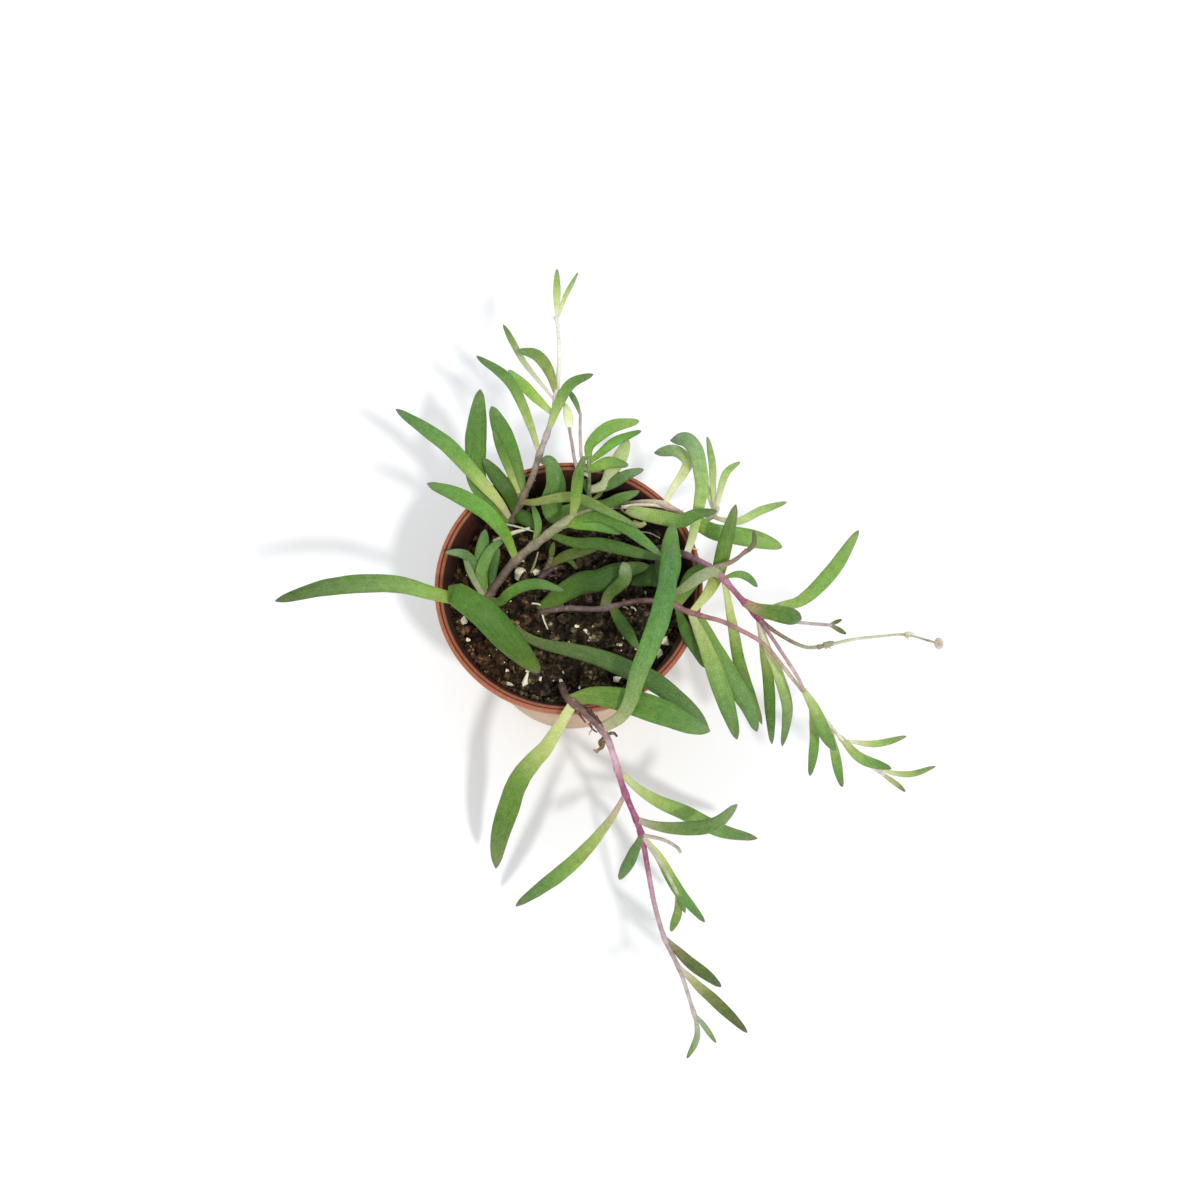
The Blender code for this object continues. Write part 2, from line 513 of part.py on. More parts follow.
def make_pot():
    collar_low = POT_HEIGHT - COLLAR_HEIGHT
    profile = [
        (0.0, 0.0),
        (CENTRE_BOSS_RADIUS, 0.0),
        (CENTRE_BOSS_RADIUS + 0.5, UNDERSIDE_RECESS),
        (FOOT_RING_INNER_RADIUS - 0.5, UNDERSIDE_RECESS),
        (FOOT_RING_INNER_RADIUS, 0.0),
        (BASE_RADIUS - 0.4, 0.0),
        (BASE_RADIUS, 0.5),
        (BODY_TOP_RADIUS, collar_low - 0.3),
        (LIP_RADIUS - 0.8, collar_low),
        (LIP_RADIUS - 0.3, collar_low + 0.4),
        (LIP_RADIUS, POT_HEIGHT - 0.5),
        (LIP_RADIUS - 0.3, POT_HEIGHT),
        (LIP_RADIUS - 0.9, POT_HEIGHT),
        (LIP_RADIUS - 1.0, POT_HEIGHT - LIP_STEP),
        (LIP_INNER_RADIUS, POT_HEIGHT - LIP_STEP),
        (LIP_INNER_RADIUS - 0.3, POT_HEIGHT - LIP_STEP - 0.4),
        (inner_radius(collar_low), collar_low),
        (inner_radius(FLOOR_THICKNESS), FLOOR_THICKNESS),
        (0.0, FLOOR_THICKNESS),
    ]
    pot = spin_profile("pot", profile, POT_SEGMENTS)
    drills = []
    for hole in range(DRAIN_HOLES):
        angle = 2 * math.pi * (hole + 0.5) / DRAIN_HOLES
        centre = (DRAIN_CIRCLE_RADIUS * math.cos(angle), DRAIN_CIRCLE_RADIUS * math.sin(angle))
        drills.append(cylinder(f"drill_{hole}", centre, DRAIN_HOLE_RADIUS, -1.0, FLOOR_THICKNESS + 1.0, 12))
    combine(pot, drills, "DIFFERENCE", "EXACT")
    paint(pot, COLOURS["pot"], 0.5)
    return pot


# Soil

def stem_feet():
    return [Vector(spec["route"][0]).to_2d() for spec in STEMS.values()]


def soil_height(x, y, feet):
    lump = noise.noise(Vector((x, y, 7.0)) / LUMP_SIZE) * 0.7 + noise.noise(Vector((x, y, 3.0)) / 1.6) * 0.3
    nearest = min((Vector((x, y)) - foot).length for foot in feet)
    calm = min(1.0, max(0.0, nearest / ROOT_CLEARANCE - 0.5))
    return SOIL_TOP + LUMP_HEIGHT * 1.6 * lump * calm


def soil_body(feet):
    builder = bmesh.new()
    rim = inner_radius(SOIL_TOP) - GAP
    centre = builder.verts.new((0.0, 0.0, soil_height(0.0, 0.0, feet)))
    rings = []
    for step in range(1, SOIL_RINGS + 1):
        radius = rim * step / SOIL_RINGS
        row = []
        for segment in range(SOIL_SEGMENTS):
            angle = 2 * math.pi * segment / SOIL_SEGMENTS
            x = radius * math.cos(angle)
            y = radius * math.sin(angle)
            height = SOIL_TOP if step == SOIL_RINGS else soil_height(x, y, feet)
            row.append(builder.verts.new((x, y, height)))
        rings.append(row)
    floor_height = FLOOR_THICKNESS + GAP
    floor_radius = inner_radius(floor_height) - GAP
    floor = [builder.verts.new((vert.co.x / rim * floor_radius, vert.co.y / rim * floor_radius, floor_height))
             for vert in rings[-1]]
    skin_rings(builder, rings + [floor])
    builder.faces.new(floor)
    for i in range(SOIL_SEGMENTS):
        builder.faces.new((rings[0][i], rings[0][(i + 1) % SOIL_SEGMENTS], centre))
    return add_object("soil", builder)


def grain(name, x, y, width, height, draw):
    builder = bmesh.new()
    bmesh.ops.create_icosphere(builder, subdivisions=1, radius=width / 2)
    for vert in builder.verts:
        vert.co *= draw.uniform(0.8, 1.15)
        vert.co.z *= 0.7
    bmesh.ops.translate(builder, vec=(x, y, height), verts=builder.verts)
    return add_object(name, builder)


def make_soil():
    draw = random.Random(6)
    feet = stem_feet()
    soil = soil_body(feet)
    grains = []
    for number, (x, y, width) in enumerate(GRAINS):
        grains.append(grain(f"grain_{number}", x, y, width, soil_height(x, y, feet), draw))
    placed = [Vector(row[:2]) for row in GRAINS]
    while len(grains) < len(GRAINS) + SMALL_GRAINS:
        radius = 24.0 * math.sqrt(draw.random())
        angle = draw.uniform(0.0, 2 * math.pi)
        place = Vector((radius * math.cos(angle), radius * math.sin(angle)))
        crowded = any((place - other).length < 3.0 for other in placed)
        near_stem = any((place - foot).length < ROOT_CLEARANCE for foot in feet)
        if crowded or near_stem:
            continue
        placed.append(place)
        height = soil_height(place.x, place.y, feet)
        grains.append(grain(f"small_{len(grains)}", place.x, place.y, draw.uniform(0.9, 1.4), height, draw))
    combine(soil, grains, "UNION", "MANIFOLD")
    holes = []
    for number, spec in enumerate(STEMS.values()):
        radius = spec["radii"][0] + GAP
        centre = spec["route"][0][:2]
        holes.append(cylinder(f"hole_{number}", centre, radius, ROOT_DEPTH - GAP, SOIL_TOP + 4.0, 10))
    combine(soil, holes, "DIFFERENCE", "EXACT")
    paint(soil, COLOURS["soil"], 0.95)
    return soil


def make_flower_head():
    builder = bmesh.new()
    bmesh.ops.create_icosphere(builder, subdivisions=2, radius=FLOWER_HEAD_RADIUS)
    bmesh.ops.translate(builder, vec=FLOWER_HEAD_CENTRE, verts=builder.verts)
    head = add_object("flower_head", builder)
    paint(head, COLOURS["flower_head"], 0.8)
    return head


def main():
    clear_scene()
    make_pot()
    make_soil()
    for name, spec in STEMS.items():
        stem = make_stem(name, spec)
        colour = COLOURS["pale_leaf"] if name == "stem_back_right" else COLOURS["leaf"]
        paint(stem, colour, 0.5)
    make_flower_head()


main()
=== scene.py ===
import bisect
import math
import random

import bmesh
import bpy
from mathutils import Matrix, Vector, noise


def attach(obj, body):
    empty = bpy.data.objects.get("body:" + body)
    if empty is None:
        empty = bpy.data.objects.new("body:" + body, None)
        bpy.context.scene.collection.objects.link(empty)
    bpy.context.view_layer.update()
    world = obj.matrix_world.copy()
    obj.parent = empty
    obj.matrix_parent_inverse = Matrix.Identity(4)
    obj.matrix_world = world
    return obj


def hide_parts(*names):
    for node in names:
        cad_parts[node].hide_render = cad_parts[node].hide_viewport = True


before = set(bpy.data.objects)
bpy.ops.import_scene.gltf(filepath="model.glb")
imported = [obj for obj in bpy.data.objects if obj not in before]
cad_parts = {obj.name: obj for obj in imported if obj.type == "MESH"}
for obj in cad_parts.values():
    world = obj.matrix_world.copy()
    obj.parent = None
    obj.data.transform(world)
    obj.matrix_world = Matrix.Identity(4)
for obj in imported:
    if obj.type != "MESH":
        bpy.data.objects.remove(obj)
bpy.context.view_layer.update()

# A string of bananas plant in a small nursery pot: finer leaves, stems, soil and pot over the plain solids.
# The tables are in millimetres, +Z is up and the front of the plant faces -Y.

mm = 0.001


# General helpers

def shown(red, green, blue):
    # a colour as it is seen on screen, made linear
    channels = []
    for value in (red, green, blue):
        value /= 255
        channels.append(((value + 0.055) / 1.055) ** 2.4 if value > 0.04045 else value / 12.92)
    return Vector(channels)


def clamp(value):
    return min(1.0, max(0.0, value))


def between(first, last, share):
    return first + (last - first) * share


def blendStops(stops, share):
    # a colour between evenly spaced stops
    step = min(max(share, 0.0), 0.9999) * (len(stops) - 1)
    low = int(step)
    return shown(*stops[low]).lerp(shown(*stops[low + 1]), step - low)


def scatter(draw):
    return Vector((draw.gauss(0, 1), draw.gauss(0, 1), draw.gauss(0, 1)))


class Path:
    # a rounded line through a few points, read by the share of its length
    cuts = 16        # straight pieces between two points
    reach = 0.012    # how far before and after a place its heading is measured

    def __init__(self, points, lead=()):
        # the points of lead come first, joined by straight lines
        points = [Vector(point) for point in points]
        line = [points[0] * 2 - points[1], *points, points[-1] * 2 - points[-2]]
        self.places = [Vector(point) for point in lead]
        for a, b, c, d in zip(line, line[1:], line[2:], line[3:]):
            before = (b - a).length ** 0.5
            span = (c - b).length ** 0.5
            after = (d - c).length ** 0.5
            leave = span * ((b - a) / before - (c - a) / (before + span) + (c - b) / span)
            arrive = span * ((c - b) / span - (d - b) / (span + after) + (d - c) / after)
            for step in range(self.cuts):
                t = step / self.cuts
                self.places.append(
                    b * (2 * t ** 3 - 3 * t ** 2 + 1) + leave * (t ** 3 - 2 * t ** 2 + t)
                    + c * (3 * t ** 2 - 2 * t ** 3) + arrive * (t ** 3 - t ** 2))
        self.places.append(points[-1])
        self.travel = [0.0]
        for a, b in zip(self.places, self.places[1:]):
            self.travel.append(self.travel[-1] + (b - a).length)
        self.length = self.travel[-1]

    def place(self, share):
        goal = min(max(share, 0.0), 1.0) * self.length
        low = min(max(bisect.bisect_right(self.travel, goal) - 1, 0), len(self.places) - 2)
        stretch = self.travel[low + 1] - self.travel[low]
        return self.places[low].lerp(self.places[low + 1], (goal - self.travel[low]) / stretch)

    def heading(self, share):
        return (self.place(share + self.reach) - self.place(share - self.reach)).normalized()


def startMesh():
    # tone holds a colour and one more value, and leafMap the place across and along a leaf
    mesh = bmesh.new()
    mesh.verts.layers.float_color.new("tone")
    mesh.loops.layers.uv.new("leafMap")
    return mesh


def newVerts(mesh, count):
    mesh.verts.ensure_lookup_table()
    return mesh.verts[count:]


def addTube(mesh, sides, rings):
    # a closed tube of radius 1 from z = 0 to z = 1, cut into rings
    count = len(mesh.verts)
    bmesh.ops.create_cone(mesh, cap_ends=True, cap_tris=True, segments=sides, radius1=1, radius2=1, depth=1)
    verts = newVerts(mesh, count)
    bmesh.ops.translate(mesh, verts=verts, vec=(0, 0, 0.5))
    lengthwise = [edge for vert in verts if vert.co.z < 0.5 for edge in vert.link_edges
                  if edge.other_vert(vert).co.z > 0.5]
    bmesh.ops.subdivide_edges(mesh, edges=lengthwise, cuts=rings - 1)
    return newVerts(mesh, count)


def growTube(mesh, path, radiusAt, sides, rings, colourAt):
    verts = addTube(mesh, sides, rings)
    tone = mesh.verts.layers.float_color["tone"]
    across = path.heading(0).cross(Vector((0.31, 0.95, 0.05))).normalized()   # any direction does
    frames = []
    for ring in range(rings + 1):
        share = ring / rings
        along = path.heading(share)
        across = (across - along * across.dot(along)).normalized()
        depth = along.cross(across)
        frames.append((path.place(share), across.copy(), depth, radiusAt(share), colourAt(share)))
    for vert in verts:
        centre, across, depth, radius, colour = frames[round(vert.co.z * rings)]
        x, y = vert.co.x, vert.co.y
        grain = 1 + 0.07 * noise.noise((centre + across * x + depth * y) * 1.7)   # slightly uneven
        vert.co = centre + (across * x + depth * y) * radius * grain
        vert[tone] = (*colour, 1)


def growThread(mesh, points, ends, sides, rings, colour):
    # a tube of one colour that goes from one radius to another
    growTube(mesh, Path(points), lambda share: between(*ends, share), sides, rings, lambda share: colour)


def colourVerts(mesh, verts, colour):
    tone = mesh.verts.layers.float_color["tone"]
    for vert in verts:
        vert[tone] = (*colour, 1)


def addObject(name, data):
    item = bpy.data.objects.new(name, data)
    bpy.context.scene.collection.objects.link(item)
    return item


def addMesh(name, mesh):
    data = bpy.data.meshes.new(name)
    mesh.to_mesh(data)
    mesh.free()
    return addObject(name, data)


def finishPiece(name, mesh, node, slot, material, smooth=True):
    bmesh.ops.recalc_face_normals(mesh, faces=mesh.faces)
    bmesh.ops.scale(mesh, vec=(mm, mm, mm), verts=mesh.verts)
    for face in mesh.faces:
        face.smooth = smooth
    piece = addMesh(name, mesh)
    piece.data.materials.append(material)
    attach(piece, "root")
    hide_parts(node)
    return piece


# Materials

class Finish:
    # a material whose nodes are added one by one in front of its shader
    def __init__(self, name, **sockets):
        self.material = bpy.data.materials.new(name)
        self.material.use_nodes = True
        self.nodes = self.material.node_tree.nodes
        self.links = self.material.node_tree.links
        self.shader = self.nodes["Principled BSDF"]
        for socket, value in sockets.items():
            self.shader.inputs[socket.replace("_", " ")].default_value = value
        self.coordinates = self.nodes.new("ShaderNodeTexCoord")

    def feed(self, socket, value):
        # the value is a node's output, a colour or a number
        if hasattr(value, "is_output"):
            self.links.new(value, socket)
        elif hasattr(value, "__len__"):
            socket.default_value = (*value, 1)
        else:
            socket.default_value = value

    def tone(self):
        node = self.nodes.new("ShaderNodeAttribute")
        node.attribute_name = "tone"
        return node.outputs

    def noise(self, scale, detail, stretch=None, source="Object", roughness=0.6):
        # the scale says how many patches go to the metre
        node = self.nodes.new("ShaderNodeTexNoise")
        node.inputs["Scale"].default_value = scale
        node.inputs["Detail"].default_value = detail
        node.inputs["Roughness"].default_value = roughness
        place = self.coordinates.outputs[source]
        if stretch:
            mapping = self.nodes.new("ShaderNodeMapping")
            mapping.inputs["Scale"].default_value = stretch
            self.links.new(place, mapping.inputs["Vector"])
            place = mapping.outputs["Vector"]
        self.links.new(place, node.inputs["Vector"])
        return node.outputs["Fac"]

    def ramp(self, source, *stops):
        # each stop is a place from 0 to 1 and a colour or a grey
        node = self.nodes.new("ShaderNodeValToRGB")
        elements = node.color_ramp.elements
        while len(elements) < len(stops):
            elements.new(0.5)
        for element, (place, colour) in zip(elements, stops):
            element.position = place
            element.color = (*colour, 1) if hasattr(colour, "__len__") else (colour, colour, colour, 1)
        self.links.new(source, node.inputs["Fac"])
        return node.outputs["Color"]

    def mix(self, how, factor, first, second):
        node = self.nodes.new("ShaderNodeMix")
        node.data_type = "RGBA"
        node.blend_type = how
        self.feed(node.inputs[0], factor)
        self.feed(node.inputs[6], first)
        self.feed(node.inputs[7], second)
        return node.outputs[2]

    def layer(self, how, factor, colour, source, *stops):
        # a colour with a grey pattern laid over it
        return self.mix(how, factor, colour, self.ramp(source, *stops))

    def cover(self, colour, other, source, *stops):
        # a colour that gives way to another as far as the pattern says
        return self.mix("MIX", self.ramp(source, *stops), colour, other)

    def math(self, how, first, second=0.0):
        node = self.nodes.new("ShaderNodeMath")
        node.operation = how
        self.feed(node.inputs[0], first)
        self.feed(node.inputs[1], second)
        return node.outputs[0]

    def separate(self, source):
        node = self.nodes.new("ShaderNodeSeparateXYZ")
        self.links.new(source, node.inputs[0])
        return node.outputs

    def bump(self, source, strength, distance, before=None):
        # the distance is in metres
        node = self.nodes.new("ShaderNodeBump")
        node.inputs["Strength"].default_value = strength
        node.inputs["Distance"].default_value = distance
        self.links.new(source, node.inputs["Height"])
        if before:
            self.links.new(before, node.inputs["Normal"])
        return node.outputs["Normal"]

    def plug(self, **outputs):
        for socket, source in outputs.items():
            self.links.new(source, self.shader.inputs[socket.replace("_", " ")])
        return self.material


leafFinish = {
    "mottleScale": 650,
    "freckleScale": 3600,
    "streaks": (11, 1.6, 1),             # how many across and along the leaf
    "edgeColour": (0.10, 0.05, 0.042),
    "undersideColour": (0.25, 0.31, 0.15),
    "bloomColour": (0.36, 0.43, 0.28),
    "freckleRelief": 0.06 * mm,
    "streakRelief": 0.12 * mm,
}
barkFinish = {
    "fineScale": 2600,
    "broadScale": 500,
    "scurfScale": 1500,
    "scurfColour": (0.62, 0.52, 0.46),
    "relief": 0.12 * mm,
}


def makeLeafMaterial():
    look = leafFinish
    finish = Finish("leafSkin", Subsurface_Weight=0.12, Subsurface_Radius=(0.5, 1.0, 0.25),
                    Subsurface_Scale=0.9 * mm, Specular_IOR_Level=0.22, Sheen_Weight=0.02,
                    Sheen_Roughness=0.5)
    tone = finish.tone()
    mottle = finish.noise(look["mottleScale"], 5)
    streaks = finish.noise(1.0, 4, stretch=look["streaks"], source="UV")
    freckles = finish.noise(look["freckleScale"], 2)
    colour = finish.layer("SOFT_LIGHT", 0.4, tone["Color"], mottle, (0.3, 0.2), (0.7, 0.7))
    colour = finish.layer("SOFT_LIGHT", 0.3, colour, streaks, (0.3, 0.2), (0.7, 0.7))
    colour = finish.layer("SOFT_LIGHT", 0.4, colour, freckles, (0.35, 0.15), (0.65, 0.75))
    colour = finish.cover(colour, look["bloomColour"], freckles, (0.6, 0.0), (0.8, 0.1))
    colour = finish.cover(colour, look["undersideColour"], tone["Alpha"], (0.0, 0.25), (0.4, 0.0))
    across = finish.separate(finish.coordinates.outputs["UV"])[0]
    fromMiddle = finish.math("ABSOLUTE", finish.math("SUBTRACT", across, 0.5))
    colour = finish.cover(colour, look["edgeColour"], fromMiddle, (0.475, 0.0), (0.497, 0.45))
    rough = finish.ramp(mottle, (0.3, 0.42), (0.7, 0.6))
    relief = finish.bump(freckles, 0.35, look["freckleRelief"])
    relief = finish.bump(streaks, 0.3, look["streakRelief"], relief)
    return finish.plug(Base_Color=colour, Roughness=rough, Normal=relief)


def makeBarkMaterial():
    look = barkFinish
    finish = Finish("stemBark", Specular_IOR_Level=0.35, Subsurface_Weight=0.05,
                    Subsurface_Radius=(1.0, 0.5, 0.4), Subsurface_Scale=0.6 * mm)
    tone = finish.tone()
    fine = finish.noise(look["fineScale"], 4)
    broad = finish.noise(look["broadScale"], 3)
    colour = finish.layer("SOFT_LIGHT", 0.8, tone["Color"], broad, (0.3, 0.2), (0.7, 0.8))
    colour = finish.layer("MULTIPLY", 0.55, colour, fine, (0.3, 0.45), (0.6, 1.0))
    scurf = finish.noise(look["scurfScale"], 2)
    colour = finish.cover(colour, look["scurfColour"], scurf, (0.6, 0.0), (0.72, 0.35))
    rough = finish.ramp(fine, (0.3, 0.7), (0.7, 0.45))
    return finish.plug(Base_Color=colour, Roughness=rough, Normal=finish.bump(fine, 0.6, look["relief"]))


# Light, floor and camera

studio = {
    "sunFrom": (0.36, -0.54, 1.0),
    "sunStrength": 1.46,
    "sunColour": (1.0, 0.985, 0.96),
    "sunSoftness": 0.07,          # radians across
    "skyColour": (0.96, 0.98, 1.0),
    "skyStrength": 1.0,
    "floorColour": (0.845, 0.855, 0.865),
    "floorShade": 0.985,          # of that colour, in its darker patches
    "floorReach": 1.5,            # metres
    "lens": 45.0,                 # millimetres
    "sensor": 36.0,
    "cameraPlace": (7.0, -117.96, 361.57),
    "cameraTilt": 20.0,           # degrees from straight down
}


def placeCamera():
    lens = bpy.data.cameras.new("camera")
    lens.sensor_width = studio["sensor"]
    lens.lens = studio["lens"]
    lens.clip_start = 0.01
    camera = addObject("camera", lens)
    camera.location = Vector(studio["cameraPlace"]) * mm
    camera.rotation_euler = (math.radians(studio["cameraTilt"]), 0, 0)
    bpy.context.scene.camera = camera


def lightScene():
    light = bpy.data.lights.new("sun", "SUN")
    light.energy = studio["sunStrength"]
    light.angle = studio["sunSoftness"]
    light.color = studio["sunColour"]
    sun = addObject("sun", light)
    sun.rotation_euler = Vector(studio["sunFrom"]).to_track_quat("Z", "Y").to_euler()
    sky = bpy.data.worlds.new("sky")
    sky.use_nodes = True
    sky.node_tree.nodes["Background"].inputs["Color"].default_value = (*studio["skyColour"], 1)
    sky.node_tree.nodes["Background"].inputs["Strength"].default_value = studio["skyStrength"]
    bpy.context.scene.world = sky
    bpy.context.scene.view_settings.view_transform = "Standard"


def layFloor():
    ground = bmesh.new()
    bmesh.ops.create_grid(ground, x_segments=1, y_segments=1, size=studio["floorReach"])
    floor = addMesh("floor", ground)
    finish = Finish("floorPaper", Roughness=0.9, Specular_IOR_Level=0.1)
    pale = Vector(studio["floorColour"])
    patches = finish.ramp(finish.noise(9, 2), (0.3, pale * studio["floorShade"]), (0.7, pale))
    floor.data.materials.append(finish.plug(Base_Color=patches))


placeCamera()
lightScene()
layFloor()
print("studio ready")


# Pot

potShape = {
    "height": 48.0,
    "lipRadius": 30.0,
    "collarHeight": 3.0,
    "underCollar": 0.3,          # the wall's outside ends this much below the collar
    "bodyTopRadius": 28.0,
    "baseRadius": 20.5,
    "wall": 0.9,
    "floorThickness": 1.8,
    "footInnerRadius": 17.0,
    "footSlope": 0.5,
    "edgeRound": 0.5,
    "bossRadius": 6.0,
    "recess": 0.8,
    "drainHoles": 6,
    "drainHoleRadius": 1.8,
    "drainCircleRadius": 11.5,
    "drillLength": 6.0,          # more than the floor's thickness
    "bodySteps": 12,
    "insideSteps": 8,
    "roundSteps": 144,
}

# the collar and lip from outside to inside: distance in from the lip, distance down from the top, colour
lipLine = [
    (1.6, 3.22, "body"), (0.8, 3.0, "collar"), (0.4, 2.8, "collar"), (0.28, 2.5, "collar"),
    (0.05, 0.9, "collar"), (0.0, 0.5, "lipOuter"), (0.08, 0.2, "lipOuter"), (0.3, 0.02, "lipOuter"),
    (0.6, 0.0, "lipOuter"), (0.85, 0.06, "lipOuter"), (0.93, 0.35, "groove"), (1.0, 0.65, "groove"),
    (1.07, 0.38, "groove"), (1.15, 0.3, "lipInner"), (1.45, 0.3, "lipInner"), (1.7, 0.42, "lipInner"),
    (1.9, 0.7, "inside"),
]
potColours = {
    "lipOuter": (158, 91, 60),
    # painted shade: the inner ledge of the lip and its groove are darker copies of the lip's colour
    "lipInner": (140, 80, 53),
    "groove": (88, 44, 30),
    "collar": (168, 112, 80),
    # painted light: the body below the collar is painted paler than the collar and lip, as if brightly lit
    "body": (187, 154, 122),
    "inside": (68, 32, 22),
}
potFinish = {
    "smearScale": 260,
    "smearStretch": 0.45,        # a smaller number makes the pattern longer up the wall
    "crumbScale": 1400,
    "streakScale": 420,
    "streakStretch": 0.12,
    "dirt": (36, 26, 20),
    "relief": 0.08 * mm,
}


def innerRadius(height):
    pot = potShape
    share = (height - pot["floorThickness"]) / (pot["height"] - pot["collarHeight"] - pot["floorThickness"])
    return between(pot["baseRadius"], pot["bodyTopRadius"], share) - pot["wall"]


def potProfile():
    # radius, height and colour name, from the axis underneath to the axis on the floor inside
    pot = potShape
    base, boss, foot = pot["baseRadius"], pot["bossRadius"], pot["footInnerRadius"]
    recess, slope, edge = pot["recess"], pot["footSlope"], pot["edgeRound"]
    collarLow = pot["height"] - pot["collarHeight"]
    outside = [(0, 0), (boss, 0), (boss + slope, recess), (foot - slope, recess), (foot, 0),
               (base - edge, 0), (base - 0.3 * edge, 0.3 * edge), (base, edge)]
    for step in range(1, pot["bodySteps"] + 1):
        share = step / pot["bodySteps"]
        height = between(edge, collarLow - pot["underCollar"], share)
        outside.append((between(base, pot["bodyTopRadius"], share), height))
    line = [(*point, "body") for point in outside]
    line += [(pot["lipRadius"] - inward, pot["height"] - down, zone) for inward, down, zone in lipLine]
    line.append((innerRadius(collarLow) + 0.15, collarLow + 0.6, "inside"))  # rounds the edge there
    for step in range(pot["insideSteps"] + 1):
        height = between(collarLow, pot["floorThickness"], step / pot["insideSteps"])
        line.append((innerRadius(height), height, "inside"))
    line.append((0, pot["floorThickness"], "inside"))
    return line


def makePotMaterial():
    look = potFinish
    finish = Finish("pottedPlastic", Specular_IOR_Level=0.45)
    tone = finish.tone()
    height = finish.separate(finish.coordinates.outputs["Object"])[2]
    smear = finish.noise(look["smearScale"], 5, stretch=(1, 1, look["smearStretch"]))
    crumbs = finish.noise(look["crumbScale"], 3)
    streaks = finish.noise(look["streakScale"], 3, stretch=(1, 1, look["streakStretch"]))
    colour = finish.layer("SOFT_LIGHT", 0.4, tone["Color"], streaks, (0.3, 0.36), (0.7, 0.64))
    colour = finish.layer("SOFT_LIGHT", 0.35, colour, crumbs, (0.35, 0.25), (0.7, 0.8))
    # soil clings to the inner wall, most of all near the soil
    heightShare = finish.math("MULTIPLY", height, 1 / (potShape["height"] * mm))
    nearSoil = finish.ramp(heightShare, (0.82, 1.0), (0.93, 0.9), (0.985, 0.3))
    dirt = finish.math("MULTIPLY", finish.ramp(smear, (0.38, 0.0), (0.5, 1.0)), nearSoil)
    dirt = finish.math("MULTIPLY", dirt, tone["Alpha"])
    colour = finish.mix("MIX", dirt, colour, shown(*look["dirt"]))
    rough = finish.ramp(smear, (0.3, 0.42), (0.7, 0.6))
    return finish.plug(Base_Color=colour, Roughness=rough, Normal=finish.bump(crumbs, 0.25, look["relief"]))


def cutDrainHoles(piece):
    pot = potShape
    drills = bmesh.new()
    reach, radius = pot["drainCircleRadius"], pot["drainHoleRadius"]
    for hole in range(pot["drainHoles"]):
        angle = 2 * math.pi * (hole + 0.5) / pot["drainHoles"]
        place = Matrix.Translation((reach * math.cos(angle), reach * math.sin(angle), 1))
        bmesh.ops.create_cone(drills, cap_ends=True, segments=32, radius1=radius, radius2=radius,
                              depth=pot["drillLength"], matrix=place)
    bmesh.ops.scale(drills, vec=(mm, mm, mm), verts=drills.verts)
    tool = addMesh("drills", drills)
    cut = piece.modifiers.new("drain holes", "BOOLEAN")
    cut.operation = "DIFFERENCE"
    cut.object = tool
    cut.solver = "EXACT"
    bpy.context.view_layer.update()
    piece.data = bpy.data.meshes.new_from_object(piece.evaluated_get(bpy.context.evaluated_depsgraph_get()))
    piece.modifiers.clear()
    bpy.data.objects.remove(tool)


def makePot():
    mesh = startMesh()
    tone = mesh.verts.layers.float_color["tone"]
    row = []
    for radius, height, zone in potProfile():
        vert = mesh.verts.new((radius, 0, height))
        vert[tone] = (*shown(*potColours[zone]), 1.0 if zone == "inside" else 0.0)
        row.append(vert)
    edges = [mesh.edges.new(pair) for pair in zip(row, row[1:])]
    bmesh.ops.spin(mesh, geom=row + edges, axis=(0, 0, 1), cent=(0, 0, 0), angle=2 * math.pi,
                   steps=potShape["roundSteps"], use_merge=True)
    bmesh.ops.remove_doubles(mesh, verts=mesh.verts, dist=1e-4)
    cutDrainHoles(finishPiece("potShell", mesh, "pot", "pot_plastic", makePotMaterial()))


makePot()
print("pot made")


# Soil

soilLook = {
    "top": 39.2,
    "grid": 220,
    "seed": 1795828725,          # of the noise that bends the clods; without one they change at every run
    "gap": 0.1,                  # between the soil's edge and the pot
    "lumpSize": 3.4,
    "smallLumpSize": 1.6,
    "lumpHeight": 1.44,
    "calmReach": 3.0,            # lumps fade out this near to a stem
    "clodSize": 3.0,
    "clodHeight": 1.2,
    "crumbSize": 0.9,
    "crumbHeight": 0.4,
    "warpSize": 1.7,             # of that bending
    "warpReach": 0.6,
    "gritSize": 0.4,
    "gritHeight": 0.16,
    "floorClearance": 0.3,       # between the soil and the pot's floor
    "broadScale": 190,
    "patchScale": 330,
    "grainScale": 560,
    "fineScale": 2600,
    "relief": 0.3 * mm,
    "dark": (30, 21, 15),
    "middle": (84, 66, 48),
    "light": (156, 134, 106),
    "mossy": (96, 84, 52),
    "redTint": (1.1, 0.84, 0.66),    # of the soil at the left
    "mossTint": (0.78, 0.83, 0.76),  # and of the rest
    "tintFrom": -20.0,               # x where the first tint starts to give way
    "tintTo": -6.0,                  # and where it has
}
crumbLook = {
    "count": 1500,
    "reach": 26.3,
    "smallShare": 0.78,
    "smallWidth": (0.3, 1.0),
    "largeWidth": (1.0, 3.1),
    "length": (0.8, 1.5),        # of the width, as are the next three
    "thickness": (0.5, 0.8),
    "lift": 0.12,
    "roughness": 0.07,
    "darkShare": 0.85,
    "darkShade": (0.25, 1.3),
    "paleShade": (1.5, 3.2),
    "onWall": 700,
    "wallWidth": (0.4, 1.5),
    "wallShade": (0.3, 1.6),
    "wallClimb": 6.5,            # how high they cling to the wall at the left front
    "wallTop": 44.5,             # no farther out than the wall is at this height
    "wallSide": 225.0,           # degrees from +X
    "wallSpread": 60.0,
}
fibreLook = {
    "count": 60,
    "reach": 24.0,
    "edge": 26.0,                # a fibre ends where it comes this far out
    "ends": (0.108, 0.018),      # radius at each end
    "step": (0.5, 1.4),
    "shade": (0.6, 2.6),
    "tint": (1.0, 0.92, 0.8),
}


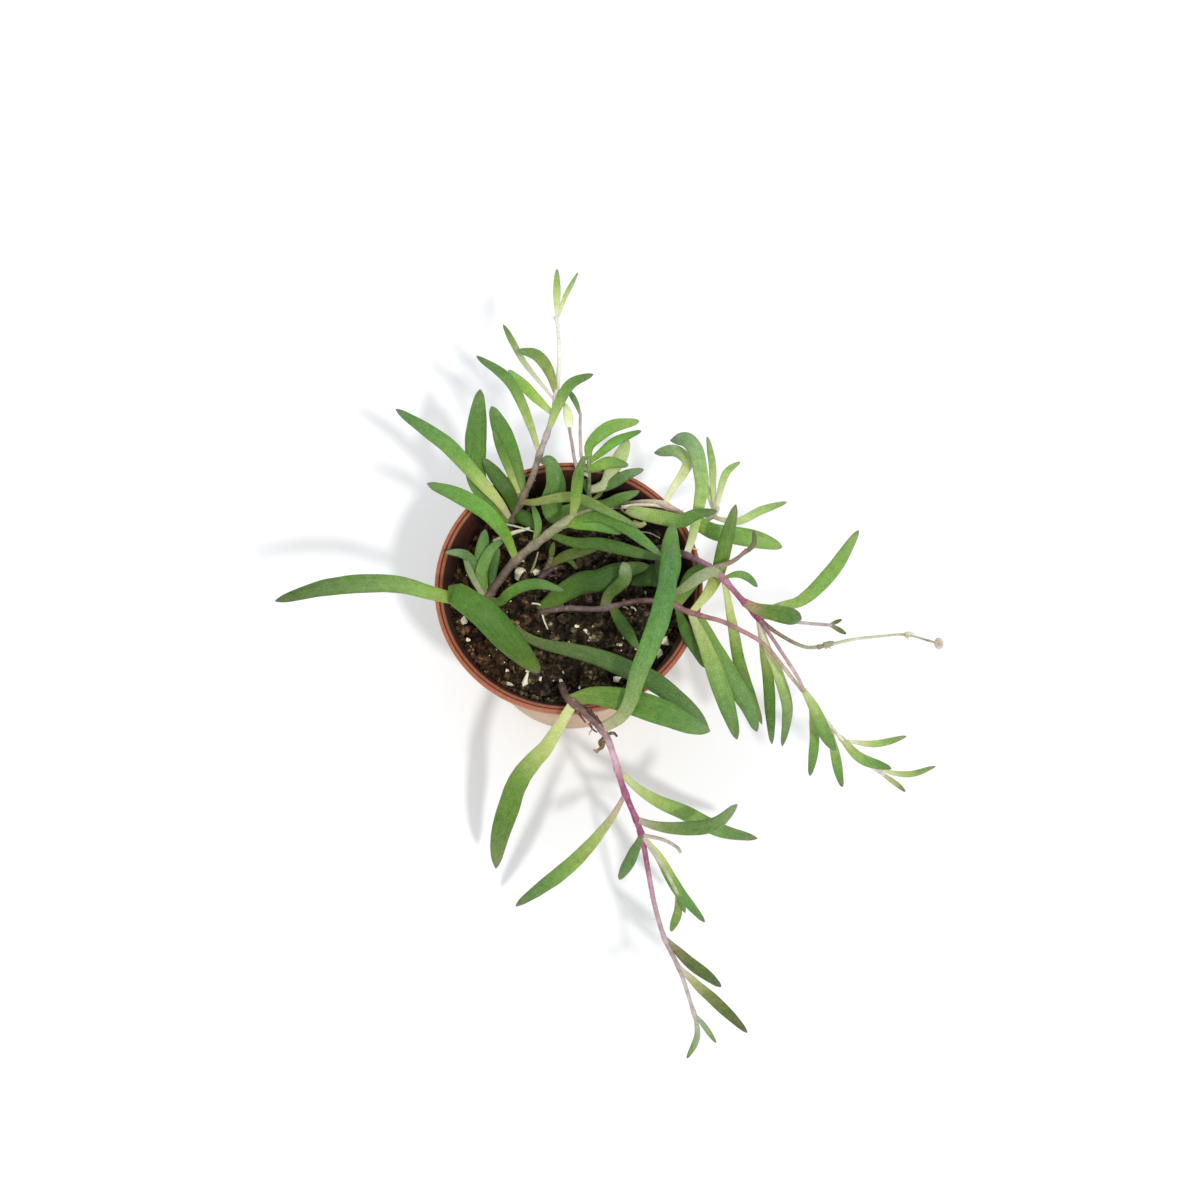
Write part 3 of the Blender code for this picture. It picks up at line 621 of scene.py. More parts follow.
def soilHeight(x, y, feet):
    look = soilLook
    spot = Vector((x, y, 7.0))   # any layer of the noise does
    lump = 0.7 * noise.noise(spot / look["lumpSize"])
    lump += 0.3 * noise.noise(Vector((x, y, 3.0)) / look["smallLumpSize"])
    nearest = min((Vector((x, y)) - foot).length for foot in feet)
    height = look["top"] + look["lumpHeight"] * lump * clamp(nearest / look["calmReach"] - 0.5)
    warp = noise.noise_vector(spot / look["warpSize"]) * look["warpReach"]
    for size, tall in ((look["clodSize"], look["clodHeight"]), (look["crumbSize"], look["crumbHeight"])):
        near, far = noise.voronoi((spot + warp) / size)[0][:2]
        height += tall * (min(far - near, 0.5) / 0.5 - 0.45)   # 0.45 keeps the mean height
    return height + look["gritHeight"] * noise.noise(spot / look["gritSize"])


def soilTint(x):
    look = soilLook
    share = clamp((x - look["tintFrom"]) / (look["tintTo"] - look["tintFrom"]))
    return Vector(look["redTint"]).lerp(Vector(look["mossTint"]), share)


def makeSoilMaterial():
    look = soilLook
    finish = Finish("pottingSoil", Specular_IOR_Level=0.2)
    tone = finish.tone()
    broad = finish.noise(look["broadScale"], 4)
    patches = finish.noise(look["patchScale"], 3)
    grain = finish.noise(look["grainScale"], 5, roughness=0.7)
    fine = finish.noise(look["fineScale"], 4)
    colour = finish.ramp(grain, (0.38, shown(*look["dark"])), (0.53, shown(*look["middle"])),
                         (0.64, shown(*look["light"])))
    colour = finish.cover(colour, shown(*look["mossy"]), broad, (0.5, 0.0), (0.68, 0.55))
    colour = finish.layer("MULTIPLY", 0.85, colour, fine, (0.3, 0.35), (0.62, 1.0))
    colour = finish.layer("MULTIPLY", 1.0, colour, patches, (0.38, 0.45), (0.62, 1.3))
    colour = finish.mix("MULTIPLY", 1.0, colour, tone["Color"])
    relief = finish.bump(fine, 0.8, look["relief"])
    rough = finish.ramp(grain, (0.3, 0.98), (0.7, 0.8))
    return finish.plug(Base_Color=colour, Roughness=rough, Normal=relief)


def makeSoil(feet, material):
    mesh = startMesh()
    tone = mesh.verts.layers.float_color["tone"]
    top = soilLook["top"]
    bmesh.ops.create_grid(mesh, x_segments=soilLook["grid"], y_segments=soilLook["grid"], size=1)
    rim = innerRadius(top) - soilLook["gap"]
    for vert in mesh.verts:
        # the square grid is bent into a disc
        u, v = vert.co.x, vert.co.y
        x = u * math.sqrt(1 - v * v / 2) * rim
        y = v * math.sqrt(1 - u * u / 2) * rim
        height = top if max(abs(u), abs(v)) > 0.9999 else soilHeight(x, y, feet)
        vert.co = (x, y, height)
        shade = 0.35 + 0.75 * clamp(0.5 + (height - top) * 0.55)   # painted shade and light: the soil is darker in its hollows and lighter on its crowns
        vert[tone] = (*(soilTint(x) * shade), 1)
    boundary = [edge for edge in mesh.edges if edge.is_boundary]
    lower = bmesh.ops.extrude_edge_only(mesh, edges=boundary)["geom"]
    clearance = soilLook["floorClearance"]
    floorHeight = potShape["floorThickness"] + clearance
    shrink = (innerRadius(floorHeight) - clearance) / rim
    for vert in lower:
        if isinstance(vert, bmesh.types.BMVert):
            vert.co = (vert.co.x * shrink, vert.co.y * shrink, floorHeight)
            # painted shade: the soil's sides and underside against the pot are darker
            vert[tone] = (0.5, 0.5, 0.5, 1)
    bmesh.ops.holes_fill(mesh, edges=[edge for edge in mesh.edges if edge.is_boundary], sides=0)
    finishPiece("soilBed", mesh, "soil", "potting_soil", material)


def randomSpot(draw, reach):
    radius = reach * math.sqrt(draw.random())
    angle = draw.uniform(0, 2 * math.pi)
    return radius * math.cos(angle), radius * math.sin(angle)


def addCrumb(mesh, centre, turn, size):
    count = len(mesh.verts)
    place = Matrix.Translation(centre) @ turn @ Matrix.Diagonal((*size, 1))
    bmesh.ops.create_icosphere(mesh, subdivisions=1, radius=0.5, matrix=place)
    return newVerts(mesh, count)


def addLooseCrumb(mesh, feet, draw):
    look = crumbLook
    x, y = randomSpot(draw, look["reach"])
    small = draw.random() < look["smallShare"]
    width = draw.uniform(*look["smallWidth" if small else "largeWidth"])
    turn = Matrix.Rotation(draw.uniform(0, math.pi), 4, "Z")
    turn = turn @ Matrix.Rotation(draw.uniform(-0.6, 0.6), 4, "X")
    size = (width * draw.uniform(*look["length"]), width, width * draw.uniform(*look["thickness"]))
    verts = addCrumb(mesh, (x, y, soilHeight(x, y, feet) + look["lift"] * width), turn, size)
    for vert in verts:
        vert.co += scatter(draw) * width * look["roughness"]
    dark = draw.random() < look["darkShare"]
    red, green, blue = soilTint(x) * draw.uniform(*look["darkShade" if dark else "paleShade"])
    colourVerts(mesh, verts, (red, green * draw.uniform(0.94, 1.04), blue * draw.uniform(0.85, 1.15)))


def addWallCrumb(mesh, draw):
    look = crumbLook
    side = math.radians(look["wallSide"])
    angle = draw.gauss(side, math.radians(look["wallSpread"]))
    climb = look["wallClimb"] * max(0.25, math.cos(angle - side))
    height = soilLook["top"] + climb * draw.random() ** 1.6
    width = draw.uniform(*look["wallWidth"])
    reach = innerRadius(min(height, look["wallTop"])) - 0.35 * width - 0.1
    x, y = reach * math.cos(angle), reach * math.sin(angle)
    turn = Matrix.Rotation(draw.uniform(0, math.pi), 4, "Z")
    size = (width, width * draw.uniform(0.6, 1.0), width * draw.uniform(0.5, 1.0))
    verts = addCrumb(mesh, (x, y, height), turn, size)
    colourVerts(mesh, verts, soilTint(x) * draw.uniform(*look["wallShade"]))


def makeCrumbs(feet, material):
    draw = random.Random(11)
    mesh = startMesh()
    for _ in range(crumbLook["count"]):
        addLooseCrumb(mesh, feet, draw)
    for _ in range(crumbLook["onWall"]):
        addWallCrumb(mesh, draw)
    finishPiece("soilCrumbs", mesh, "soil", "potting_soil", material, smooth=False)


def makeFibres(feet, material):
    look = fibreLook
    draw = random.Random(5)
    mesh = startMesh()
    for _ in range(look["count"]):
        x, y = randomSpot(draw, look["reach"])
        turn = draw.uniform(0, 2 * math.pi)
        points = []
        for _ in range(4):
            points.append((x, y, soilHeight(x, y, feet) + draw.uniform(0.15, 0.6)))
            x += math.cos(turn) * draw.uniform(*look["step"])
            y += math.sin(turn) * draw.uniform(*look["step"])
            turn += draw.uniform(-0.7, 0.7)
            if math.hypot(x, y) > look["edge"]:
                break
        if len(points) > 2:
            colour = Vector(look["tint"]) * draw.uniform(*look["shade"])
            growThread(mesh, points, look["ends"], 5, 10, colour)
    finishPiece("soilFibres", mesh, "soil", "potting_soil", material)


grainLook = {
    "colour": (255, 246, 216),
    "dust": (176, 150, 116),
    "pitScale": 2400,
    "dustScale": 700,
    "relief": 0.25 * mm,
    "corners": 14,
    "roundness": (0.48, 0.6),        # how far out the corners are, of the grain's size
    "flatness": 0.8,
    "smallCount": 45,
    "smallWidth": (0.3, 0.8),
    "smallReach": 25.5,
    "smallLift": 0.15,
    "rootletColour": (226, 218, 196),
    "rootletEnds": (0.24, 0.14),     # radius at each end
}

# white grains: x, y, width, length
grains = [
    (-11.1, 5.4, 3.6, 3.1), (-7.6, 6, 1.6, 1.7), (-23.9, -6, 1.7, 2), (-22.8, -10.7, 1.2, 1),
    (-20.8, -9.2, 0.9, 0.9), (-13.3, -21.3, 2.7, 1.9), (-9.6, -20, 1.5, 3.4), (-9.2, -17.7, 1.1, 0.9),
    (-13.9, -17.6, 1, 0.9), (-1.1, -18.1, 0.8, 1.5), (-1.7, -20, 1.2, 1.1), (-0.9, -21.4, 0.8, 0.7),
    (2.5, -21.6, 0.7, 1.3), (11, -19.6, 2.3, 1.8), (21.7, -10.8, 3, 2.2), (20.3, -13.6, 1.9, 2.3),
    (11.5, -11.1, 1.5, 1.2), (12.1, -9.9, 0.9, 0.9), (5, -9.6, 1.1, 0.8), (1.8, -7.4, 1.1, 0.9),
    (3.6, -8, 1.3, 1), (0.6, -5.6, 0.8, 0.7), (16.5, 14, 1.2, 1.2), (-6.4, -19.4, 0.8, 1.3),
    (-16.5, -12.9, 0.6, 0.8), (5.5, -7.3, 0.8, 0.7), (13.2, -6.4, 0.7, 0.7),
]
rootlets = [
    [(-8.4, -2.3, 41.6), (-6.8, -2.7, 42), (-5, -3.9, 41.2)],
    [(-6.1, -4.6, 41), (-5.6, -6.4, 40.9), (-4.8, -8.2, 40.7)],
    [(12.2, -2.9, 41), (12.9, -3.1, 41), (13.5, -3.6, 40.8)],
    [(14, -3, 41), (14.8, -3.3, 41), (15.2, -3.9, 40.8)],
    [(-13.5, 6.5, 41.5), (-12.2, 7.6, 42.2), (-10.4, 8, 41.6)],
]


def makePerliteMaterial():
    look = grainLook
    finish = Finish("whiteGrains", Specular_IOR_Level=0.25)
    tone = finish.tone()
    pits = finish.noise(look["pitScale"], 4)
    dust = finish.noise(look["dustScale"], 3)
    colour = finish.layer("MULTIPLY", 0.8, tone["Color"], pits, (0.3, 0.78), (0.46, 1.0))
    colour = finish.cover(colour, shown(*look["dust"]), dust, (0.58, 0.0), (0.78, 0.5))
    return finish.plug(Base_Color=colour, Roughness=finish.ramp(pits, (0.3, 0.95), (0.6, 0.7)),
                       Normal=finish.bump(pits, 0.7, look["relief"]))


def addGrain(mesh, place, width, length, draw):
    # an angular flake: the hull of a few scattered points
    count = len(mesh.verts)
    turn = Matrix.Rotation(draw.uniform(-0.4, 0.4), 3, "Z")
    stretch = Matrix.Diagonal((width, length, min(width, length) * grainLook["flatness"]))
    for _ in range(grainLook["corners"]):
        away = stretch @ scatter(draw).normalized() * draw.uniform(*grainLook["roundness"])
        mesh.verts.new(place + turn @ away)
    spread = newVerts(mesh, count)
    bmesh.ops.convex_hull(mesh, input=spread)
    colourVerts(mesh, spread, shown(*grainLook["colour"]) * draw.uniform(0.9, 1.0))


def makeGrains(feet):
    look = grainLook
    draw = random.Random(8)
    mesh = startMesh()
    for x, y, width, length in grains:
        lift = 0.3 * width + 0.02 * max(0.0, math.hypot(x, y) - 20) ** 2   # more of it near the wall
        addGrain(mesh, Vector((x, y, soilHeight(x, y, feet) + lift)), width, length, draw)
    for _ in range(look["smallCount"]):
        x, y = randomSpot(draw, look["smallReach"])
        width = draw.uniform(*look["smallWidth"])
        place = Vector((x, y, soilHeight(x, y, feet) + look["smallLift"]))
        addGrain(mesh, place, width, width * draw.uniform(0.7, 1.3), draw)
    for points in rootlets:
        growThread(mesh, points, look["rootletEnds"], 8, 14, shown(*look["rootletColour"]))
    loose = [vert for vert in mesh.verts if not vert.link_faces]  # points inside a hull
    bmesh.ops.delete(mesh, geom=loose, context="VERTS")
    finishPiece("whiteGrains", mesh, "soil", "potting_soil", makePerliteMaterial(), smooth=False)


# Stems and leaves

leafBuild = {
    "sides": 18,
    "ringSpacing": 0.7,
    "ringCrowding": 1.4,         # rings lie closer together near the tip
    "swellPower": 1.3,
    "taperReach": 0.86,
    "taperPower": 0.8,
    "tipPowers": (2.2, 0.65),
    "edgeWobble": 0.025,
    "lightness": (0.94, 1.05),
    "thickness": 0.46,           # share of the width
    "upperSwell": 0.86,          # how far each face bulges
    "lowerSwell": 1.08,
    "leastHalf": 0.25,
    "baseWidth": 0.42,
    "widest": 0.6,
    "tipStart": 0.93,
    "tipShade": 0.55,            # how far the point takes on the tip's colour
    "tipColour": (112, 104, 96),
    "channel": 0.22,             # how far the upper face is hollowed near the root
    "crease": 0.45,              # how much farther on a creased leaf
    "wobble": 0.12,
    "facing": (0.0, -0.3, 1.0),
    "tint": (0.90, 0.89, 0.80),  # darkens the tones and takes blue out of them
    "pivot": (0.22, 0.33, 0.12),  # a tone of this colour stays as it is, others move away from it
    "contrast": (1.14, 1.1, 1.28),
}

# colours along a leaf, from its root to its point
leafTones = {
    "fresh": [(184, 194, 144), (158, 180, 110), (124, 158, 86), (104, 142, 78), (104, 128, 84)],
    "limeRoot": [(198, 208, 148), (176, 192, 118), (112, 146, 66), (96, 130, 62), (122, 140, 92)],
    "even": [(132, 158, 88), (118, 153, 80), (114, 150, 82), (104, 142, 80), (106, 134, 86)],
    "mossy": [(124, 146, 78), (104, 138, 66), (98, 138, 64), (94, 134, 70), (112, 142, 88)],
    "dark": [(96, 118, 60), (80, 112, 50), (76, 110, 48), (86, 120, 60), (104, 134, 80)],
    "deep": [(84, 116, 44), (88, 129, 53), (77, 117, 43), (81, 113, 43), (98, 118, 50)],
    "sage": [(146, 156, 114), (116, 144, 92), (108, 142, 88), (104, 136, 88), (122, 146, 106)],
    "greySage": [(112, 122, 78), (104, 124, 76), (94, 124, 72), (92, 126, 72), (108, 138, 86)],
    "olive": [(150, 158, 100), (140, 154, 92), (128, 150, 84), (116, 146, 82), (120, 146, 92)],
    "bright": [(140, 174, 90), (126, 170, 86), (124, 168, 84), (134, 170, 94), (144, 178, 106)],
    "vivid": [(152, 174, 98), (112, 156, 62), (114, 162, 80), (106, 150, 74), (106, 142, 88)],
    "lime": [(186, 206, 132), (168, 198, 108), (150, 190, 94), (148, 188, 102), (150, 186, 112)],
    "pale": [(218, 222, 184), (200, 212, 158), (174, 198, 128), (148, 180, 108), (140, 162, 118)],
    "dusky": [(188, 172, 158), (166, 172, 132), (138, 153, 110), (122, 145, 98), (126, 145, 108)],
    "pinkRoot": [(178, 150, 132), (152, 153, 104), (112, 142, 72), (98, 130, 68), (98, 126, 84)],
    "paleDark": [(206, 200, 174), (152, 166, 100), (98, 134, 58), (86, 120, 54), (106, 132, 82)],
    "tanRoot": [(182, 180, 146), (122, 152, 92), (102, 146, 78), (92, 136, 78), (90, 134, 84)],
    "paleHead": [(118, 128, 88), (99, 118, 68), (88, 117, 58), (108, 134, 82), (150, 168, 130)],
    "greyHead": [(206, 214, 168), (164, 190, 116), (146, 180, 106), (138, 170, 116), (112, 140, 104)],
    "paleGreyHead": [(212, 218, 176), (204, 214, 160), (180, 200, 132), (150, 178, 122), (112, 140, 98)],
    "paleToDark": [(186, 202, 142), (184, 202, 136), (154, 184, 106), (102, 140, 70), (94, 124, 70)],
    "paleBright": [(196, 204, 164), (142, 172, 92), (124, 162, 84), (128, 164, 90), (132, 160, 100)],
    "paleRoot": [(216, 212, 186), (204, 212, 158), (158, 187, 116), (126, 155, 96), (112, 134, 96)],
    "paleSage": [(196, 188, 166), (132, 152, 98), (108, 138, 82), (114, 142, 88), (134, 156, 116)],
    "paleStalk": [(218, 220, 192), (212, 216, 180), (182, 196, 148), (138, 164, 98), (112, 138, 86)],
    "greyLeaf": [(192, 182, 172), (176, 186, 158), (156, 176, 140), (134, 156, 110), (120, 138, 92)],
    "purpleRoot": [(176, 158, 148), (138, 136, 98), (106, 122, 76), (96, 118, 70), (98, 104, 78)],
    "paleOlive": [(210, 204, 182), (178, 180, 128), (118, 132, 82), (98, 114, 68), (98, 102, 76)],
    "greyLens": [(160, 160, 126), (158, 166, 128), (150, 164, 124), (142, 158, 112), (124, 134, 98)],
    "brownTwig": [(130, 116, 96), (122, 116, 92), (112, 112, 84), (104, 108, 82), (96, 98, 78)],
    "pinkStalk": [(184, 162, 150), (160, 178, 110), (130, 162, 86), (104, 140, 76), (100, 124, 82)],
    "creamRoot": [(212, 214, 170), (176, 194, 116), (118, 158, 80), (102, 144, 80), (98, 130, 86)],
    "bud": [(222, 228, 188), (214, 224, 174), (206, 220, 162), (192, 212, 146), (172, 198, 126)],
    "greenStrip": [(214, 210, 184), (190, 200, 146), (156, 180, 108), (124, 154, 84), (134, 140, 118)],
    "oliveStrip": [(198, 188, 166), (180, 182, 136), (162, 170, 114), (138, 148, 98), (118, 110, 100)],
    # painted shade: the next two tones are darker greens for leaves that lie in shade; the second one's
    # lighter tip is painted light
    "shade": [(92, 110, 56), (78, 106, 46), (72, 100, 44), (64, 96, 40), (84, 112, 60)],
    "shadeTip": [(96, 124, 54), (84, 116, 50), (58, 92, 36), (66, 100, 44), (112, 146, 84)],
    "brownOlive": [(108, 100, 66), (106, 116, 60), (98, 116, 56), (90, 110, 52), (92, 112, 60)],
    "limeToDark": [(146, 168, 80), (128, 161, 86), (110, 142, 82), (94, 122, 70), (84, 106, 62)],
    "paleWide": [(206, 212, 172), (198, 208, 158), (188, 206, 146), (182, 204, 140), (172, 192, 130)],
    "midLime": [(144, 178, 84), (132, 168, 80), (122, 158, 78), (114, 150, 74), (108, 140, 76)],
}
leafMaterial = makeLeafMaterial()
barkMaterial = makeBarkMaterial()


def tipShare(share):
    return clamp((share - leafBuild["tipStart"]) / (1 - leafBuild["tipStart"]))


def leafWidth(share, widest, base):
    # swells up to the widest place, tapers beyond it and closes at the tip
    build = leafBuild
    swell = math.sin(min(share / widest, 1.0) * math.pi / 2) ** build["swellPower"]
    beyond = max(share - widest, 0.0) / (1.0 - widest)
    taper = math.cos(beyond * math.pi / 2 * build["taperReach"]) ** build["taperPower"]
    fullness, bluntness = build["tipPowers"]
    closing = (1 - tipShare(share) ** fullness) ** bluntness
    return between(base, 1.0, swell) * taper * closing


def leafColour(tone, share, lightness):
    build = leafBuild
    colour = blendStops(leafTones[tone], share) * lightness
    colour = [a * b for a, b in zip(colour, build["tint"])]
    colour = Vector(b * (a / b) ** c for a, b, c in zip(colour, build["pivot"], build["contrast"]))
    return colour.lerp(shown(*build["tipColour"]), build["tipShade"] * tipShare(share))


def evenCrossings(path, shares):
    # the crosswise direction at each ring, steadied where the leaf points up at the sky
    facing = Vector(leafBuild["facing"]).normalized()
    raw = [facing.cross(path.heading(share)) for share in shares]
    for _ in range(3):
        padded = [raw[0], *raw, raw[-1]]
        raw = [(a + b * 2 + c) / 4 for a, b, c in zip(padded, padded[1:], padded[2:])]
    return [crossing.normalized() for crossing in raw]


def leafFrames(path, size, tone, draw):
    # at each ring: centre, two directions, half width, half thickness, share of the length and colour
    build = leafBuild
    given = size if isinstance(size, tuple) else (size,)
    usual = (build["widest"], build["baseWidth"])
    width, widest, base = (*given, *usual[len(given) - 1:])
    rings = max(16, round(path.length / build["ringSpacing"]))
    shares = [1 - (1 - ring / rings) ** build["ringCrowding"] for ring in range(rings + 1)]
    lightness = draw.uniform(*build["lightness"])
    seed = draw.uniform(0, 50)
    frames = []
    for share, across in zip(shares, evenCrossings(path, shares)):
        travelled = share * path.length
        half = width / 2 * leafWidth(share, widest, base)
        half *= 1 + build["edgeWobble"] * noise.noise(Vector((travelled * 0.35, seed, 0)))
        least = build["leastHalf"] * min(1.0, (1 - share) / 0.05) ** 0.65
        half = max(half, least)
        sway = noise.noise(Vector((travelled * 0.2, seed, 5))) * build["wobble"] * min(1.0, share * 4)
        centre = path.place(share) + across * sway
        depth = path.heading(share).cross(across).normalized()
        thick = max(half * build["thickness"], least)
        frames.append((centre, across, depth, half, thick, share, leafColour(tone, share, lightness)))
    return frames


def growLeaf(mesh, points, size, tone, draw, crease):
    # size is a width, and where they differ from the usual also the widest place and the width at the root
    build = leafBuild
    path = Path(points)
    frames = leafFrames(path, size, tone, draw)
    rings = len(frames) - 1
    toneLayer = mesh.verts.layers.float_color["tone"]
    leafMap = mesh.loops.layers.uv["leafMap"]
    for vert in addTube(mesh, build["sides"], rings):
        centre, across, depth, half, thick, share, colour = frames[round(vert.co.z * rings)]
        x, y = vert.co.x, vert.co.y
        rise = y * build["upperSwell" if y > 0 else "lowerSwell"]
        if y > 0:
            hollow = build["channel"] * (1 - share) + crease
            rise -= hollow * math.exp(-(x / 0.4) ** 2) * min(1.0, y * 2)
        vert.co = centre + across * (half * x) + depth * (thick * rise)
        vert[toneLayer] = (*colour, 0.5 + 0.5 * y)
        for loop in vert.link_loops:
            loop[leafMap].uv = (0.5 + 0.5 * x, share * path.length * 0.1)


def growLeaves(mesh, path, rows, draw, creased=()):
    for number, (at, size, tone, *points) in enumerate(rows):
        crease = leafBuild["crease"] if number in creased else 0.0
        growLeaf(mesh, [path.place(at), *points], size, tone, draw, crease)


barkBuild = {
    "sides": 14,
    "ringSpacing": 0.6,
    "nodeSwell": 0.28,           # how much thicker the stem is at a leaf
    "nodeReach": 1.1,
    "hairEnds": (0.077, 0.007),  # radius at each end
    "hairReach": (0.7, 1.7),
    "hairLean": (-0.4, 0.5),     # along the stem
    "paleShare": 0.7,
    "paleHair": (214, 190, 186),
    "darkHair": (120, 84, 66),
    "bractReach": (0.5, 1.1),
    "bractLean": (0.6, 1.4),
    "bractEnds": (0.253, 0.033),
    "bractColour": (208, 196, 170),
    "threadEnds": (1.1, 0.6),    # times the thread's own radius
}


def growBark(mesh, path, radii, bark, nodes):
    # a stem that swells a little at each place in nodes, given in millimetres along it
    build = barkBuild

    def radiusAt(share):
        travelled = share * path.length
        swell = sum(math.exp(-((travelled - node) / build["nodeReach"]) ** 2) for node in nodes)
        return between(*radii, share) * (1 + build["nodeSwell"] * min(swell, 1.3))
    rings = max(10, round(path.length / build["ringSpacing"]))
    growTube(mesh, path, radiusAt, build["sides"], rings, lambda share: blendStops(bark, share))


def growHairs(mesh, path, radii, count, draw):
    build = barkBuild
    for _ in range(count):
        share = draw.uniform(0.05, 0.95)
        along = path.heading(share)
        out = along.cross(scatter(draw)).normalized()
        start = path.place(share) + out * radii[1] * 0.7
        end = start + out * draw.uniform(*build["hairReach"]) + along * draw.uniform(*build["hairLean"])
        colour = shown(*build["paleHair" if draw.random() < build["paleShare"] else "darkHair"])
        middle = (start + end) / 2 + along * 0.12
        growThread(mesh, [start, middle, end], build["hairEnds"], 4, 4, colour)


def growBracts(mesh, path, places, draw):
    # three thin pale scales sit round each node
    build = barkBuild
    for at in [at for at in places for _ in range(3)]:
        along = path.heading(at)
        out = along.cross(scatter(draw)).normalized()
        start = path.place(at) + out * 0.4
        tip = start + out * draw.uniform(*build["bractReach"]) + along * draw.uniform(*build["bractLean"])
        middle = start.lerp(tip, 0.5) + along * 0.1
        growThread(mesh, [start, middle, tip], build["bractEnds"], 6, 6, shown(*build["bractColour"]))


def growShoot(leaves, bark, path, shoot, draw):
    line = Path([path.place(shoot["at"]), *shoot["route"]])
    knots = shoot.get("knots", [])
    growBark(bark, line, shoot["radii"], shoot["bark"], [share * line.length for share in knots])
    growBracts(bark, line, knots, draw)
    growLeaves(leaves, line, shoot.get("leaves", []), draw)


def growStem(stem):
    draw = random.Random(stem["seed"])
    leaves = startMesh()
    bark = startMesh()
    path = Path(stem["route"])
    buried = (*stem["route"][0][:2], 36.0)   # in the stem's hole in the soil
    whole = Path(stem["route"], lead=[buried])
    below = whole.length - path.length
    nodes = [below + row[0] * path.length for row in stem["leaves"]]
    growBark(bark, whole, stem["radii"], stem["bark"], nodes)
    growLeaves(leaves, path, stem["leaves"], draw, stem.get("creased", ()))
    for shoot in stem.get("shoots", []):
        growShoot(leaves, bark, path, shoot, draw)
    growHairs(bark, path, stem["radii"], stem.get("hairs", 8), draw)
    growBracts(bark, path, stem.get("bracts", []), draw)
    for points, radius, colour in stem.get("threads", []):
        ends = [radius * share for share in barkBuild["threadEnds"]]
        growThread(bark, points, ends, 6, 14, shown(*colour))
    node = stem["node"]
    side = node.replace("stem_", "")
    slot = stem.get("slot", "leaves")
    finishPiece(side + "Leaves", leaves, node, slot, leafMaterial)
    finishPiece(side + "Bark", bark, node, slot, barkMaterial)
    print(side, "stem grown")


# Each stem has its route from the soil to its tip. Each leaf has its place along the route, its size, its
# tone and its own points. A shoot starts at its place along the stem, and a thread has points, radius and
# colour.

